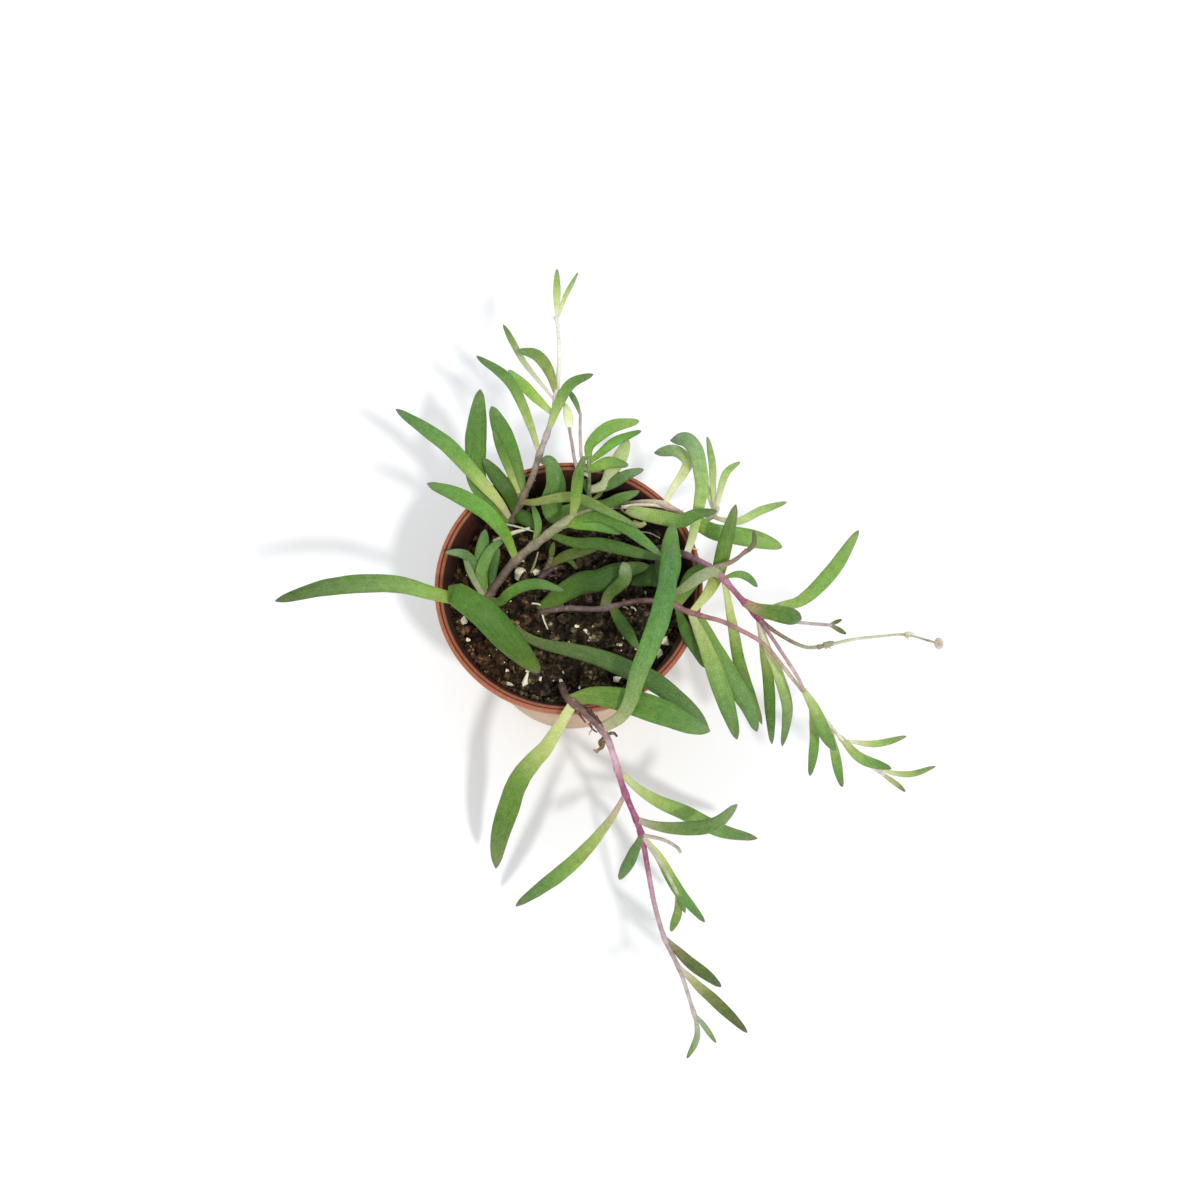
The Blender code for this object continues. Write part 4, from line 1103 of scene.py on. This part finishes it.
frontStem = {
    "node": "stem_front",
    "seed": 21,
    "radii": (0.9, 0.4),
    "bark": [(84, 62, 56), (100, 76, 68), (112, 84, 76), (122, 92, 86), (204, 164, 180),
             (160, 88, 122), (150, 76, 112), (158, 86, 118), (176, 134, 146), (178, 152, 154),
             (184, 166, 162), (194, 182, 174), (196, 182, 174)],
    "route": [
        (-1.5, -21.5, 41), (-0.5, -25.5, 47), (1, -28, 50), (5, -31.5, 50), (8, -34.5, 48.5),
        (10, -38.5, 44), (12, -44, 38.5), (16, -53, 33), (17.5, -60.5, 31), (19, -68.5, 30),
        (21, -75.5, 30), (24, -82.5, 33), (27, -93.5, 39),
    ],
    "leaves": [
        (0.13, (5, 0.7, 0.42), "limeRoot", (-0.5, -31, 49.5), (-5, -36.5, 43.5), (-10.5, -40.5, 34.5),
         (-13.5, -45.5, 27), (-16, -52, 21), (-17, -58, 16)),
        (0.12, (5.8, 0.58, 0.5), "mossy", (5, -27, 51.5), (11, -28, 52.5), (20, -31, 53), (27, -34, 52.5),
         (30.5, -35, 52)),
        (0.22, (4.6, 0.65, 0.5), "tanRoot", (11.5, -32, 53), (13.5, -29, 55.5), (15, -24.5, 58),
         (18.5, -16, 61), (20.5, -10, 62.5), (22.5, 3.5, 63)),
        (0.34, (3.6, 0.6, 0.3), "fresh", (14.5, -43.5, 38), (19.5, -46, 34), (26.5, -48, 29), (34.5, -51, 25),
         (43, -52, 21)),
        (0.41, (3.4, 0.6, 0.28), "pinkStalk", (9.5, -50.5, 36.5), (1, -58.5, 27), (-12.5, -66, 12)),
        (0.48, 3.2, "paleSage", (19, -52, 36), (26.5, -53, 38), (32, -52.5, 41), (36.5, -49, 44)),
        (0.52, 2.6, "sage", (14.5, -58, 38), (11, -65.5, 46)),
        (0.52, (2.6, 0.55, 0.4), "creamRoot", (20, -58, 31), (24.5, -65, 27), (30.5, -71, 22)),
        (0.77, 2.6, "purpleRoot", (26, -80.5, 31.5), (31, -84.5, 32), (33, -86, 32)),
        (0.85, 2.4, "paleOlive", (28.5, -87, 37), (31, -89.5, 38.5), (37.5, -96, 40)),
        (0.98, 1.4, "greyLeaf", (27, -96.5, 42), (24.5, -101.5, 47)),
        (0.98, 1.2, "greyLeaf", (29, -95.5, 41.5), (31, -98, 40)),
    ],
    "shoots": [
        {"at": 0.52, "radii": (0.45, 0.35), "bark": [(200, 186, 170), (176, 168, 158)],
         "route": [(21, -55, 35), (24, -57, 36), (24.5, -58, 36.5)]},
        {"at": 0.52, "radii": (0.45, 0.35), "bark": [(208, 196, 184), (172, 176, 136)],
         "route": [(21, -61, 34), (24, -66.5, 32.5)],
         "leaves": [
             (0.97, 2, "olive", (24, -70, 31), (22.5, -74, 29)),
             (0.97, 1.2, "sage", (25.5, -70.5, 33)),
         ]},
    ],
    "hairs": 26,
    "bracts": [0.22, 0.5, 0.52],
    "creased": (1,),
    # a broken root that hangs off the stem, and root bits round it
    "threads": [
        ([(8.4, -34.9, 47.7), (7.7, -35.5, 46.9), (7, -36, 46), (7.3, -36.7, 45.4)], 0.66, (92, 68, 42)),
        ([(7.9, -35.9, 46.8), (7.5, -36.9, 45.6), (6.8, -37.2, 45), (6.2, -37.7, 44.4)], 0.46, (122, 96, 62)),
        ([(6.8, -37.2, 45), (6.1, -37.4, 44.6), (5.6, -37.2, 44.5)], 0.32, (150, 124, 92)),
        ([(9, -34.6, 48.6), (10, -34.6, 48.8), (10.7, -35.2, 48.4)], 0.4, (104, 74, 58)),
        ([(4.7, -30.1, 50.9), (5.3, -30.9, 50.8), (5.9, -31.2, 50.7)], 0.5, (66, 44, 36)),
        ([(6, -31.2, 50.6), (6.6, -32.1, 50.3), (7, -32.4, 50.2)], 0.42, (76, 52, 42)),
        ([(6.9, -32.6, 50.1), (7.8, -33.3, 49.8), (8.2, -33.8, 49.6)], 0.4, (70, 46, 38)),
        ([(2.4, -30.6, 50.4), (3.4, -31.8, 49.8), (3.9, -32.4, 49.4)], 0.3, (92, 66, 56)),
        ([(4.6, -32.6, 49.6), (5.6, -33.9, 49), (6.4, -34.4, 48.8)], 0.3, (84, 58, 48)),
        ([(5.6, -33.6, 49.2), (4.9, -34.3, 48.8), (4.6, -34.9, 48.4)], 0.16, (150, 122, 108)),
    ],
}

rightStem = {
    "node": "stem_right",
    "seed": 22,
    "radii": (0.72, 0.3),
    "bark": [(78, 62, 52), (104, 86, 80), (112, 90, 86), (124, 88, 84), (152, 108, 106), (172, 130, 128),
             (186, 162, 144), (206, 200, 172), (216, 208, 192), (212, 196, 188)],
    "route": [
        (-6.5, -4, 41), (0, -4, 43), (7, -4.5, 44), (15.5, -3.5, 46.5), (22, -5, 49.5),
        (27, -8, 51), (33.5, -10, 51.5), (37.5, -12, 51.5), (42.5, -15, 51), (49, -22.5, 49),
        (54, -28.5, 47), (56.5, -31.5, 46), (63.5, -38.5, 43), (69, -42, 41),
    ],
    "leaves": [
        # painted shade: this leaf lies in shade, and its lighter tip is painted light
        (0, (5.2, 0.5, 0.6), "shadeTip", (-2, -1, 43.5), (2.5, 1, 45.5), (7, 1.5, 46.5), (11, 3, 47.5),
         (18, 4, 49)),
        (0.16, (3, 0.8, 0.75), "paleHead", (9, -2, 46.5), (11, -1, 49), (12.5, 0, 51), (12.5, 2, 52.5),
         (12, 3.5, 52.5)),
        (0.18, (3, 0.45, 0.65), "dark", (11.5, -7.5, 44.5), (13.5, -10.5, 44), (15.5, -14, 44)),
        # painted shade: the next two leaves lie in shade
        (0.31, (5, 0.65, 0.5), "shade", (22, 0, 47), (19.5, 2.5, 46.5), (17, 2.5, 46), (14, 1, 45)),
        (0.32, (4.4, 0.6, 0.6), "shade", (22, -0.5, 48.5), (21.5, 2.5, 49.5), (20, 6.5, 49)),
        (0.335, (4.8, 0.5, 0.6), "mossy", (22, -1, 51.5), (22.5, 2.5, 54.5), (22.5, 6, 56),
         (23, 10.5, 57.5)),
        (0.35, 4, "mossy", (28, 1, 50), (32, 4, 50)),
        (0.39, 4, "fresh", (31, -19.5, 52.5), (34.5, -28, 48), (37, -34.5, 43)),
        (0.41, 4.2, "even", (35, -20.5, 47.5), (39.5, -27.5, 44.5), (41.5, -32.5, 42)),
        (0.35, 3, "dark", (26, -12, 49.5), (28.5, -16, 48.5), (30, -19.5, 47.5)),
        (0.39, 3.4, "limeRoot", (31, -3, 51), (33, 1, 51), (34.5, 6.5, 54.5), (37, 15, 58)),
        (0.75, 2.2, "fresh", (54, -34.5, 42), (53.5, -41, 36)),
        (0.82, 2.2, "fresh", (59, -39, 40), (60.5, -43.5, 36)),
        (0.87, (1.6, 0.6, 0.3), "greenStrip", (66.5, -36, 45), (73.5, -34.5, 46)),
        (0.86, (2.4, 0.55, 0.5), "fresh", (63.6, -39, 44.4), (70.6, -40.6, 41.6)),
        (0.97, (1.4, 0.6, 0.3), "greenStrip", (74, -42, 42), (80, -40.5, 43)),
        (0.98, (1.2, 0.6, 0.4), "oliveStrip", (71.5, -43.5, 40), (74, -45, 38)),
    ],
    "hairs": 12,
}

upperRightStem = {
    "node": "stem_upper_right",
    "seed": 23,
    "radii": (0.75, 0.6),
    "bark": [(72, 60, 50), (82, 66, 64), (88, 70, 74), (94, 72, 80), (100, 76, 84), (138, 100, 114),
             (188, 132, 150), (172, 110, 130), (150, 76, 104), (130, 56, 86)],
    "route": [
        (16, 9, 41), (20.5, 9.5, 46), (25.5, 6, 51), (29, 3.5, 53), (31.5, 1.5, 54), (34, -1, 54),
        (38, -5.5, 53), (42.5, -9.5, 50),
    ],
    "leaves": [
        (0.4, (3.6, 0.85, 0.42), "greyHead", (28, 11.5, 50.5), (29.5, 18.5, 51.5), (30, 22.5, 52),
         (29.5, 27, 52.5), (28.5, 31, 53), (26.5, 33.5, 52.5), (23, 34, 51)),
        (0.85, (3.8, 0.8, 0.5), "pinkRoot", (41, -8, 54), (44.5, -10, 57), (50, -12.5, 60)),
        (0.94, (3.3, 0.6, 0.25), "paleBright", (46.5, -6.5, 51.5), (51, -5.5, 52), (58, 1, 53),
         (64.5, 10.5, 54)),
        (0.97, 2.6, "paleDark", (43, -14.5, 47.5), (44.5, -23, 42), (45.5, -33.5, 35)),
        (0.98, 2.6, "paleRoot", (43.5, -14, 48), (46.5, -20, 44), (48.5, -27, 41), (47.5, -34.5, 37)),
        (0.68, 2.8, "limeRoot", (35.5, -7, 51), (36.5, -12, 48.5), (38, -18.5, 45), (43, -30, 39)),
        (0.65, (2.6, 0.45, 0.7), "greyLens", (31.5, -0.5, 57), (28.5, -2, 57), (26, -3.5, 56),
         (22.5, -5, 54)),
        (0.67, (1.8, 0.6, 0.3), "even", (37, -0.5, 55.5), (39.5, -1, 54.5), (41.5, -3, 54)),
    ],
    "shoots": [
        {"at": 0.98, "radii": (0.48, 0.22), "knots": [0.42, 0.86],
         "bark": [(124, 98, 88), (136, 122, 102), (178, 184, 148), (188, 192, 160), (182, 182, 150),
                  (150, 134, 112)],
         "route": [(45.5, -12, 50), (52, -15.5, 50), (56, -15.5, 51), (61.5, -14.5, 52), (68, -14, 53),
                   (73, -14, 54), (78.5, -15.5, 54)]},
        {"at": 0.98, "radii": (0.45, 0.36), "bark": [(168, 124, 130), (184, 150, 150), (186, 158, 150)],
         "route": [(46.5, -17.5, 52), (50, -23.5, 51.5), (51, -26, 51)],
         "leaves": [
             (0.97, 3, "fresh", (53, -29, 50), (55.5, -34.5, 48), (58, -37.5, 45)),
         ]},
        {"at": 0.96, "radii": (0.4, 0.35), "bark": [(160, 140, 134), (184, 172, 168)],
         "route": [(50.5, -10.5, 52), (57.5, -11.5, 53)],
         "leaves": [
             (0.97, (1.1, 0.55, 0.6), "purpleRoot", (60.5, -13.5, 53)),
             (0.97, (0.9, 0.55, 0.6), "purpleRoot", (59.5, -10.5, 54)),
         ]},
        {"at": 0.59, "radii": (0.7, 0.35), "bark": [(150, 150, 116), (142, 124, 104), (126, 94, 92)],
         "route": [(35.5, 2, 56), (37.5, 3, 57), (39, 4.5, 57.5)],
         "leaves": [
             (0.7, 1.2, "brownTwig", (40.5, 5.5, 58), (40.5, 8.5, 59)),
         ]},
    ],
    "hairs": 14,
    "bracts": [0.36, 0.6],
    # the end of the stalk, which holds the flower head
    "threads": [
        ([(77.8, -15.3, 54), (78.8, -15.6, 54), (79.8, -15.9, 54)], 0.3, (170, 156, 130)),
        ([(55.8, -15.6, 51.1), (57, -15.2, 51.4), (57.9, -15, 51.4)], 0.8, (142, 148, 116)),
        ([(54.4, -15.8, 50.9), (55.2, -15.7, 51.1), (56, -15.4, 51.3)], 0.6, (138, 118, 100)),
        ([(73, -14, 54.2), (74, -13.8, 54.3), (75, -14.1, 54.2)], 0.5, (214, 208, 190)),
    ],
}

backRightStem = {
    "node": "stem_back_right",
    "slot": "pale_leaves",
    "seed": 24,
    "radii": (0.75, 0.5),
    "bark": [(176, 156, 132), (204, 190, 162), (216, 202, 178), (196, 178, 152), (178, 156, 132),
             (206, 196, 170)],
    "route": [
        (7, 21.5, 41), (13.5, 21, 44.5), (18.5, 19.5, 49), (21, 18.5, 50.5), (25, 16.5, 50), (29, 15, 47.5),
        (32.5, 17, 46.5), (34, 19.5, 46),
    ],
    "leaves": [
        (0.53, (2.8, 0.8), "paleGreyHead", (23.5, 22, 51), (26, 26, 50.5), (27, 29.5, 49.5),
         (24.5, 32.5, 48.5), (19.5, 33, 46.5)),
        (0.14, (3.4, 0.62, 0.36), "paleToDark", (14.5, 16.5, 50.5), (18, 15, 52), (21.5, 13.5, 53.5),
         (25, 12.5, 54.5), (28, 13.5, 55.5), (33, 14, 56.5)),
        (0.79, (4.2, 0.6, 0.8), "bright", (32.5, 13, 47.5), (38.5, 12, 47), (44.5, 11, 46), (48.5, 10, 45)),
        (0.91, 2, "pale", (38, 14.5, 49.5), (43.5, 17, 50), (49.5, 19.5, 49)),
        (0.95, 1.8, "pale", (33, 25, 46), (33, 31, 46), (32.5, 34, 46), (32, 38, 45)),
        (0.94, 1.4, "pale", (31.5, 25.5, 45), (31, 30, 44)),
        (0.97, 1.8, "pale", (36, 27.5, 47), (39.5, 31, 46)),
    ],
    # a second dry strip under the stem, a dark thread that paints the shade in the gap, a withered flake and
    # thin fibres
    "threads": [
        ([(12, 18.6, 48), (16.1, 18.5, 49.6), (20.6, 18, 50), (24.2, 16.8, 49.6)], 0.5, (222, 208, 184)),
        # painted shade: a dark thread in the gap between the strip and the stem
        ([(12.4, 17.6, 48.6), (16.4, 17.5, 50), (20.8, 16.9, 50.4), (24.6, 15.8, 49.9)], 0.28, (84, 58, 40)),
        ([(14.6, 15.4, 46), (16.3, 15, 46.3), (17.4, 15.5, 46.5)], 0.9, (176, 182, 128)),
        ([(16.4, 14.2, 44), (18.4, 13.5, 45), (20.7, 12.5, 44.5)], 0.22, (196, 204, 172)),
        ([(25.6, 7.5, 48), (27.3, 8.3, 48.6), (29.1, 8.1, 48.2)], 0.3, (214, 206, 198)),
    ],
}

backStem = {
    "node": "stem_back",
    "seed": 25,
    "radii": (0.9, 0.4),
    "bark": [(92, 74, 62), (110, 96, 78), (136, 120, 104), (170, 158, 150), (210, 205, 190),
             (234, 236, 222), (222, 220, 208)],
    "route": [
        (-14, 17.5, 41), (-12.5, 19, 43.5), (-11, 21, 46.5), (-8.5, 25, 50), (-7, 29.5, 51.5),
        (-4, 38.5, 53), (-3, 44.5, 54), (-2.5, 50, 55.5), (-2.5, 56.5, 57), (-3, 62.5, 58),
    ],
    "leaves": [
        (0.36, 2.6, "fresh", (-9.5, 38.5, 53.5), (-14, 48, 53.5), (-22, 56, 51)),
        (0.55, 2.6, "lime", (-6, 42.5, 52), (-9, 46, 51.5), (-14.5, 52.5, 50.5)),
        (0.64, 2.8, "olive", (-4.5, 48.5, 56.5), (-7.5, 52.5, 57.5), (-12, 54, 57)),
        (0.61, (1.6, 0.75, 0.35), "paleStalk", (-11, 54, 52.5), (-13.5, 59, 52), (-16, 65, 50)),
        (0.45, 2.6, "fresh", (-2.5, 41.5, 54.5), (0.5, 46.5, 55), (5.5, 49.5, 54)),
        (0.98, 1.8, "pale", (-3, 67.5, 59), (-3, 73.5, 60.5)),
        (0.98, 1.2, "pale", (-1, 67, 59), (2, 72.5, 60.5)),
        (0.02, (3.7, 0.6, 0.34), "creamRoot", (-15.9, 19.7, 48.2), (-19.5, 22.8, 51.9), (-27.5, 31, 54.5),
         (-39.5, 39.5, 56)),
        (0.02, (5, 0.6, 0.6), "mossy", (-16.2, 19, 45), (-18.8, 21.4, 48), (-21, 24.6, 49.6),
         (-21.5, 33, 50.5), (-21, 48, 49.5)),
        (0.15, (4.6, 0.6, 0.65), "mossy", (-13.5, 30.5, 51.5), (-18, 42, 52.5)),
        (0.14, 2, "limeRoot", (-14.5, 28, 53), (-17.5, 35.5, 53)),
        (0.07, (3.6, 0.6, 0.6), "dark", (-14, 22, 49.5), (-16.5, 25, 51), (-19.5, 29, 52)),
        (0.13, (2.4, 0.5, 0.5), "olive", (-8, 19, 50), (-4, 18.5, 53), (1.5, 17.5, 56), (8.5, 13, 59),
         (15, 9, 60)),
        (0.02, (3.4, 0.55, 0.6), "dark", (-11.5, 18, 44.5), (-9, 16.5, 45), (-6.5, 14.5, 45)),
    ],
    "hairs": 10,
    "bracts": [0.98],
}

centreStem = {
    "node": "stem_centre",
    "seed": 26,
    "radii": (1, 0.85),
    "bark": [(96, 78, 66), (106, 88, 76), (116, 98, 84), (138, 130, 104), (150, 154, 116), (146, 150, 112)],
    "route": [
        (-19, -1, 41), (-16, 2.5, 43), (-12.5, 6, 46), (-6, 10, 50), (0, 13.5, 52.5), (7, 15.5, 54.5),
    ],
    "leaves": [
        (0.69, (2.8, 0.6, 0.5), "mossy", (5.5, 13, 55.5), (9, 11.5, 57.5), (13, 9, 58.5), (20.5, 2.5, 58.5)),
        (0.62, (3, 0.55, 0.5), "dark", (1.5, 8.5, 51.5), (7, 8, 52), (13, 6.5, 52), (21, 4.5, 51.5)),
        (0.75, (4, 0.5, 0.5), "vivid", (2, 12.5, 53.5), (5, 12.5, 54), (8, 12, 53.5), (12, 10.5, 52.5)),
        (0.8, (2.6, 0.62, 0.3), "limeRoot", (1.5, 14.5, 59.5), (2, 17.5, 62), (2.5, 20.5, 63),
         (3.5, 24.5, 63)),
        (0.34, 3.7, "vivid", (-14.5, 10.5, 53), (-18.5, 13.5, 58), (-24, 15, 63), (-30, 15, 69)),
        (0, (3.4, 0.6, 0.5), "even", (-20, 4, 45), (-19.5, 8, 47.5), (-19, 13, 48.5)),
        (0, (2.8, 0.5, 0.6), "even", (-20, 1.5, 44.5), (-19.5, 4, 47), (-17, 8, 49.5), (-14.5, 10, 49.5)),
        (0, (2.2, 0.7, 0.5), "sage", (-20.5, 3.5, 45), (-22, 6, 47.5), (-24, 6.5, 50), (-27.5, 6.5, 51)),
        (0, (1.6, 0.7, 0.6), "dusky", (-20.5, 0.5, 44.5), (-22, 3, 46.5), (-23.5, 6.5, 48.5)),
        (0.07, 2.6, "dark", (-17.5, 5, 44), (-16, 9.5, 46)),
        (0, (2.6, 0.6, 0.6), "mossy", (-15.5, -3, 44.5), (-13.5, -2, 47), (-9.5, -0.5, 48.5),
         (-6, -0.5, 49), (-1, -1.5, 47.5)),
        (0.5, (1.8, 0.5, 0.6), "even", (-7, 14, 48.5), (-7.5, 16.5, 48.5), (-8.5, 19.5, 48)),
    ],
    "hairs": 14,
    # pale dry strips and a thin shoot beside the stem
    "threads": [
        ([(-17.2, 11.2, 45.2), (-13, 12.9, 46.3), (-8.9, 14, 46.8)], 0.62, (206, 212, 176)),
        ([(-15.8, 15.6, 46), (-11.6, 14.2, 47), (-7, 12.6, 47.4)], 0.26, (190, 192, 164)),
        ([(-8.7, 4.8, 42.6), (-7.7, 6.4, 45), (-7, 8.3, 46.5)], 0.3, (150, 160, 118)),
        ([(-6.9, 3.5, 41.6), (-4.9, 5, 42.5), (-2.6, 6.2, 42.6), (-1.2, 6.4, 41.4)], 0.8, (84, 62, 60)),
        ([(-6, 5.6, 41.8), (-4.2, 4.2, 42.4), (-2.2, 4.6, 41.6)], 0.55, (74, 52, 58)),
    ],
}

backCentreStem = {
    "node": "stem_back_centre",
    "seed": 27,
    "radii": (0.5, 0.4),
    "bark": [(112, 120, 82), (126, 148, 96)],
    "route": [
        (4.5, 22.5, 41), (4.5, 24.5, 46), (4.5, 27, 50.5), (4.5, 29.5, 52),
    ],
    "leaves": [
        (0.1, (5, 0.5, 0.6), "even", (0, 19.5, 43), (-3, 18, 45), (-4, 19.5, 48.5), (-3, 22, 52.5),
         (-3.5, 24.5, 55.5), (-4.5, 26, 57), (-6.5, 26.5, 55.5)),
        (0.2, 1.4, "dark", (3, 26, 47.5)),
        (0.06, 1.2, "olive", (7, 24, 44), (6.5, 25.5, 47)),
        (0.94, (3.2, 0.5, 0.45), "bright", (4.5, 31, 53.5), (6.5, 33, 55.5), (9.5, 35, 56), (16, 37.5, 54)),
        (0.9, (2.2, 0.5, 0.5), "vivid", (7.5, 30, 53.5), (10, 32, 54), (13.5, 34, 53.5), (16.5, 35.5, 53)),
        (0.77, (2.8, 0.5, 0.6), "midLime", (6.5, 27, 52), (9, 28, 52), (13.5, 27.5, 51.5)),
        (0.34, (3.4, 0.7, 0.5), "paleWide", (8, 24.5, 47.5), (9.5, 27, 49), (11.5, 30, 50),
         (13.5, 34.5, 50.5)),
        (0.29, 2.6, "sage", (8, 24, 47), (13, 25.5, 50.5), (17, 26.5, 51.5)),
        (0.06, 2.6, "even", (8, 21, 44.5), (12, 21, 48), (16, 22, 49.5)),
    ],
    "shoots": [
        {"at": 0.65, "radii": (0.45, 0.35), "bark": [(196, 190, 170), (176, 158, 150), (156, 138, 130)],
         "route": [(2, 27, 50.5), (0.5, 33, 53), (0, 36, 53.5)],
         "leaves": [
             (0.97, (2.2, 0.4, 0.5), "bud", (-0.2, 38.5, 54), (-1, 42, 54)),
         ]},
        {"at": 0.69, "radii": (0.4, 0.35), "bark": [(150, 156, 118), (196, 188, 176), (170, 152, 148)],
         "route": [(3, 28.5, 51), (2.5, 33.5, 52), (2.5, 40, 53)],
         "leaves": [
             (0.97, 1.4, "sage", (1.5, 42.5, 53), (-0.5, 46.5, 52.5)),
         ]},
    ],
}

leftStem = {
    "node": "stem_left",
    "seed": 28,
    "radii": (1, 0.9),
    "bark": [(88, 108, 62), (92, 124, 62)],
    "route": [
        (-15.5, -6, 41), (-17.5, -7, 47), (-20, -7.5, 54), (-22.5, -8, 59),
    ],
    "leaves": [
        (0.98, (6.4, 0.5, 0.7), "deep", (-23.5, -8, 63), (-18.5, -11.5, 63), (-12, -17, 58), (-6, -22, 52)),
        (0.96, (4, 0.55, 0.6), "limeToDark", (-29.5, -7, 61.5), (-35.5, -6, 63.5), (-42.5, -6.5, 65.5),
         (-49.5, -8, 67.5), (-55, -10, 69), (-60, -12.5, 71)),
        (0.05, (4.4, 0.7, 0.3), "greySage", (-7, -12, 43), (0.5, -14.5, 45), (7, -17, 47), (12.5, -20, 49),
         (18, -23, 50), (21.5, -25.5, 50), (26.5, -29.5, 49.5), (30.5, -33.5, 48.5)),
    ],
}

youngStem = {
    "node": "stem_young",
    "seed": 29,
    "radii": (0.6, 0.5),
    "bark": [(92, 80, 62), (106, 98, 72)],
    "route": [
        (-6.5, 5, 41), (-5, 6, 42.5), (-4, 8, 44.5),
    ],
    "leaves": [
        (0.5, (2.6, 0.55, 0.5), "brownOlive", (-1.5, 7.5, 45), (2.5, 8.5, 46), (6.5, 9, 46.5)),
        (0.95, (1.4, 0.5, 0.7), "brownOlive", (-4, 9, 46), (-3.5, 10.5, 47)),
        (0.6, (1.4, 0.5, 0.7), "brownOlive", (-0.5, 7.5, 44), (2, 5.5, 42.5)),
    ],
}

allStems = [frontStem, rightStem, upperRightStem, backRightStem, backStem, centreStem, backCentreStem,
            leftStem, youngStem]
for stem in allStems:
    growStem(stem)

# Flower head

headLook = {
    "centre": (80.2, -16.0, 54.0),
    "radius": 1.04,
    "stretch": (0.92, 1.2, 1.0),
    "core": 0.86,                # its radius as a share of the head's
    "florets": 110,
    "floretRoot": 0.7,
    "floretTip": (0.96, 1.08),
    "floretEnds": (0.1, 0.16),
    "cream": (234, 226, 208),
    "brown": (186, 164, 134),
    "speckleScale": 3000,
    "relief": 0.1 * mm,
}


def makeFlowerMaterial():
    finish = Finish("driedFlower", Specular_IOR_Level=0.2, Sheen_Weight=0.2)
    tone = finish.tone()
    speckle = finish.noise(headLook["speckleScale"], 3)
    colour = finish.layer("MULTIPLY", 0.7, tone["Color"], speckle, (0.3, 0.55), (0.6, 1.0))
    return finish.plug(Base_Color=colour, Roughness=finish.ramp(speckle, (0.3, 0.9), (0.7, 0.7)),
                       Normal=finish.bump(speckle, 0.5, headLook["relief"]))


def makeFlowerHead():
    look = headLook
    draw = random.Random(3)
    mesh = startMesh()
    centre = Vector(look["centre"])
    radius = look["radius"]
    stretch = Matrix.Diagonal(look["stretch"])
    bmesh.ops.create_icosphere(mesh, subdivisions=4, radius=radius * look["core"],
                               matrix=Matrix.Translation(centre))
    for vert in mesh.verts:
        away = stretch @ (vert.co - centre)
        vert.co = centre + away * (1 + 0.10 * noise.noise(vert.co * 2.4))
    colourVerts(mesh, mesh.verts, shown(*look["brown"]))
    goldenAngle = 2.39996   # radians from one floret to the next, which spreads them evenly
    for number in range(look["florets"]):
        z = 1 - 2 * (number + 0.5) / look["florets"]
        turn = number * goldenAngle
        away = Vector((math.cos(turn) * math.sqrt(1 - z * z), math.sin(turn) * math.sqrt(1 - z * z), z))
        away = stretch @ away * radius
        start = centre + away * look["floretRoot"]
        end = centre + away * draw.uniform(*look["floretTip"])
        colour = shown(*look["cream"]) * draw.uniform(0.8, 1.05)
        growThread(mesh, [start, (start + end) / 2, end], look["floretEnds"], 6, 4, colour)
    finishPiece("flowerBall", mesh, "flower_head", "flower", makeFlowerMaterial())


makeFlowerHead()
print("flower head made")

noise.seed_set(soilLook["seed"])
feet = [Vector(stem["route"][0]).to_2d() for stem in allStems]
soilMaterial = makeSoilMaterial()
makeSoil(feet, soilMaterial)
makeCrumbs(feet, soilMaterial)
makeFibres(feet, soilMaterial)
makeGrains(feet)
print("soil laid")
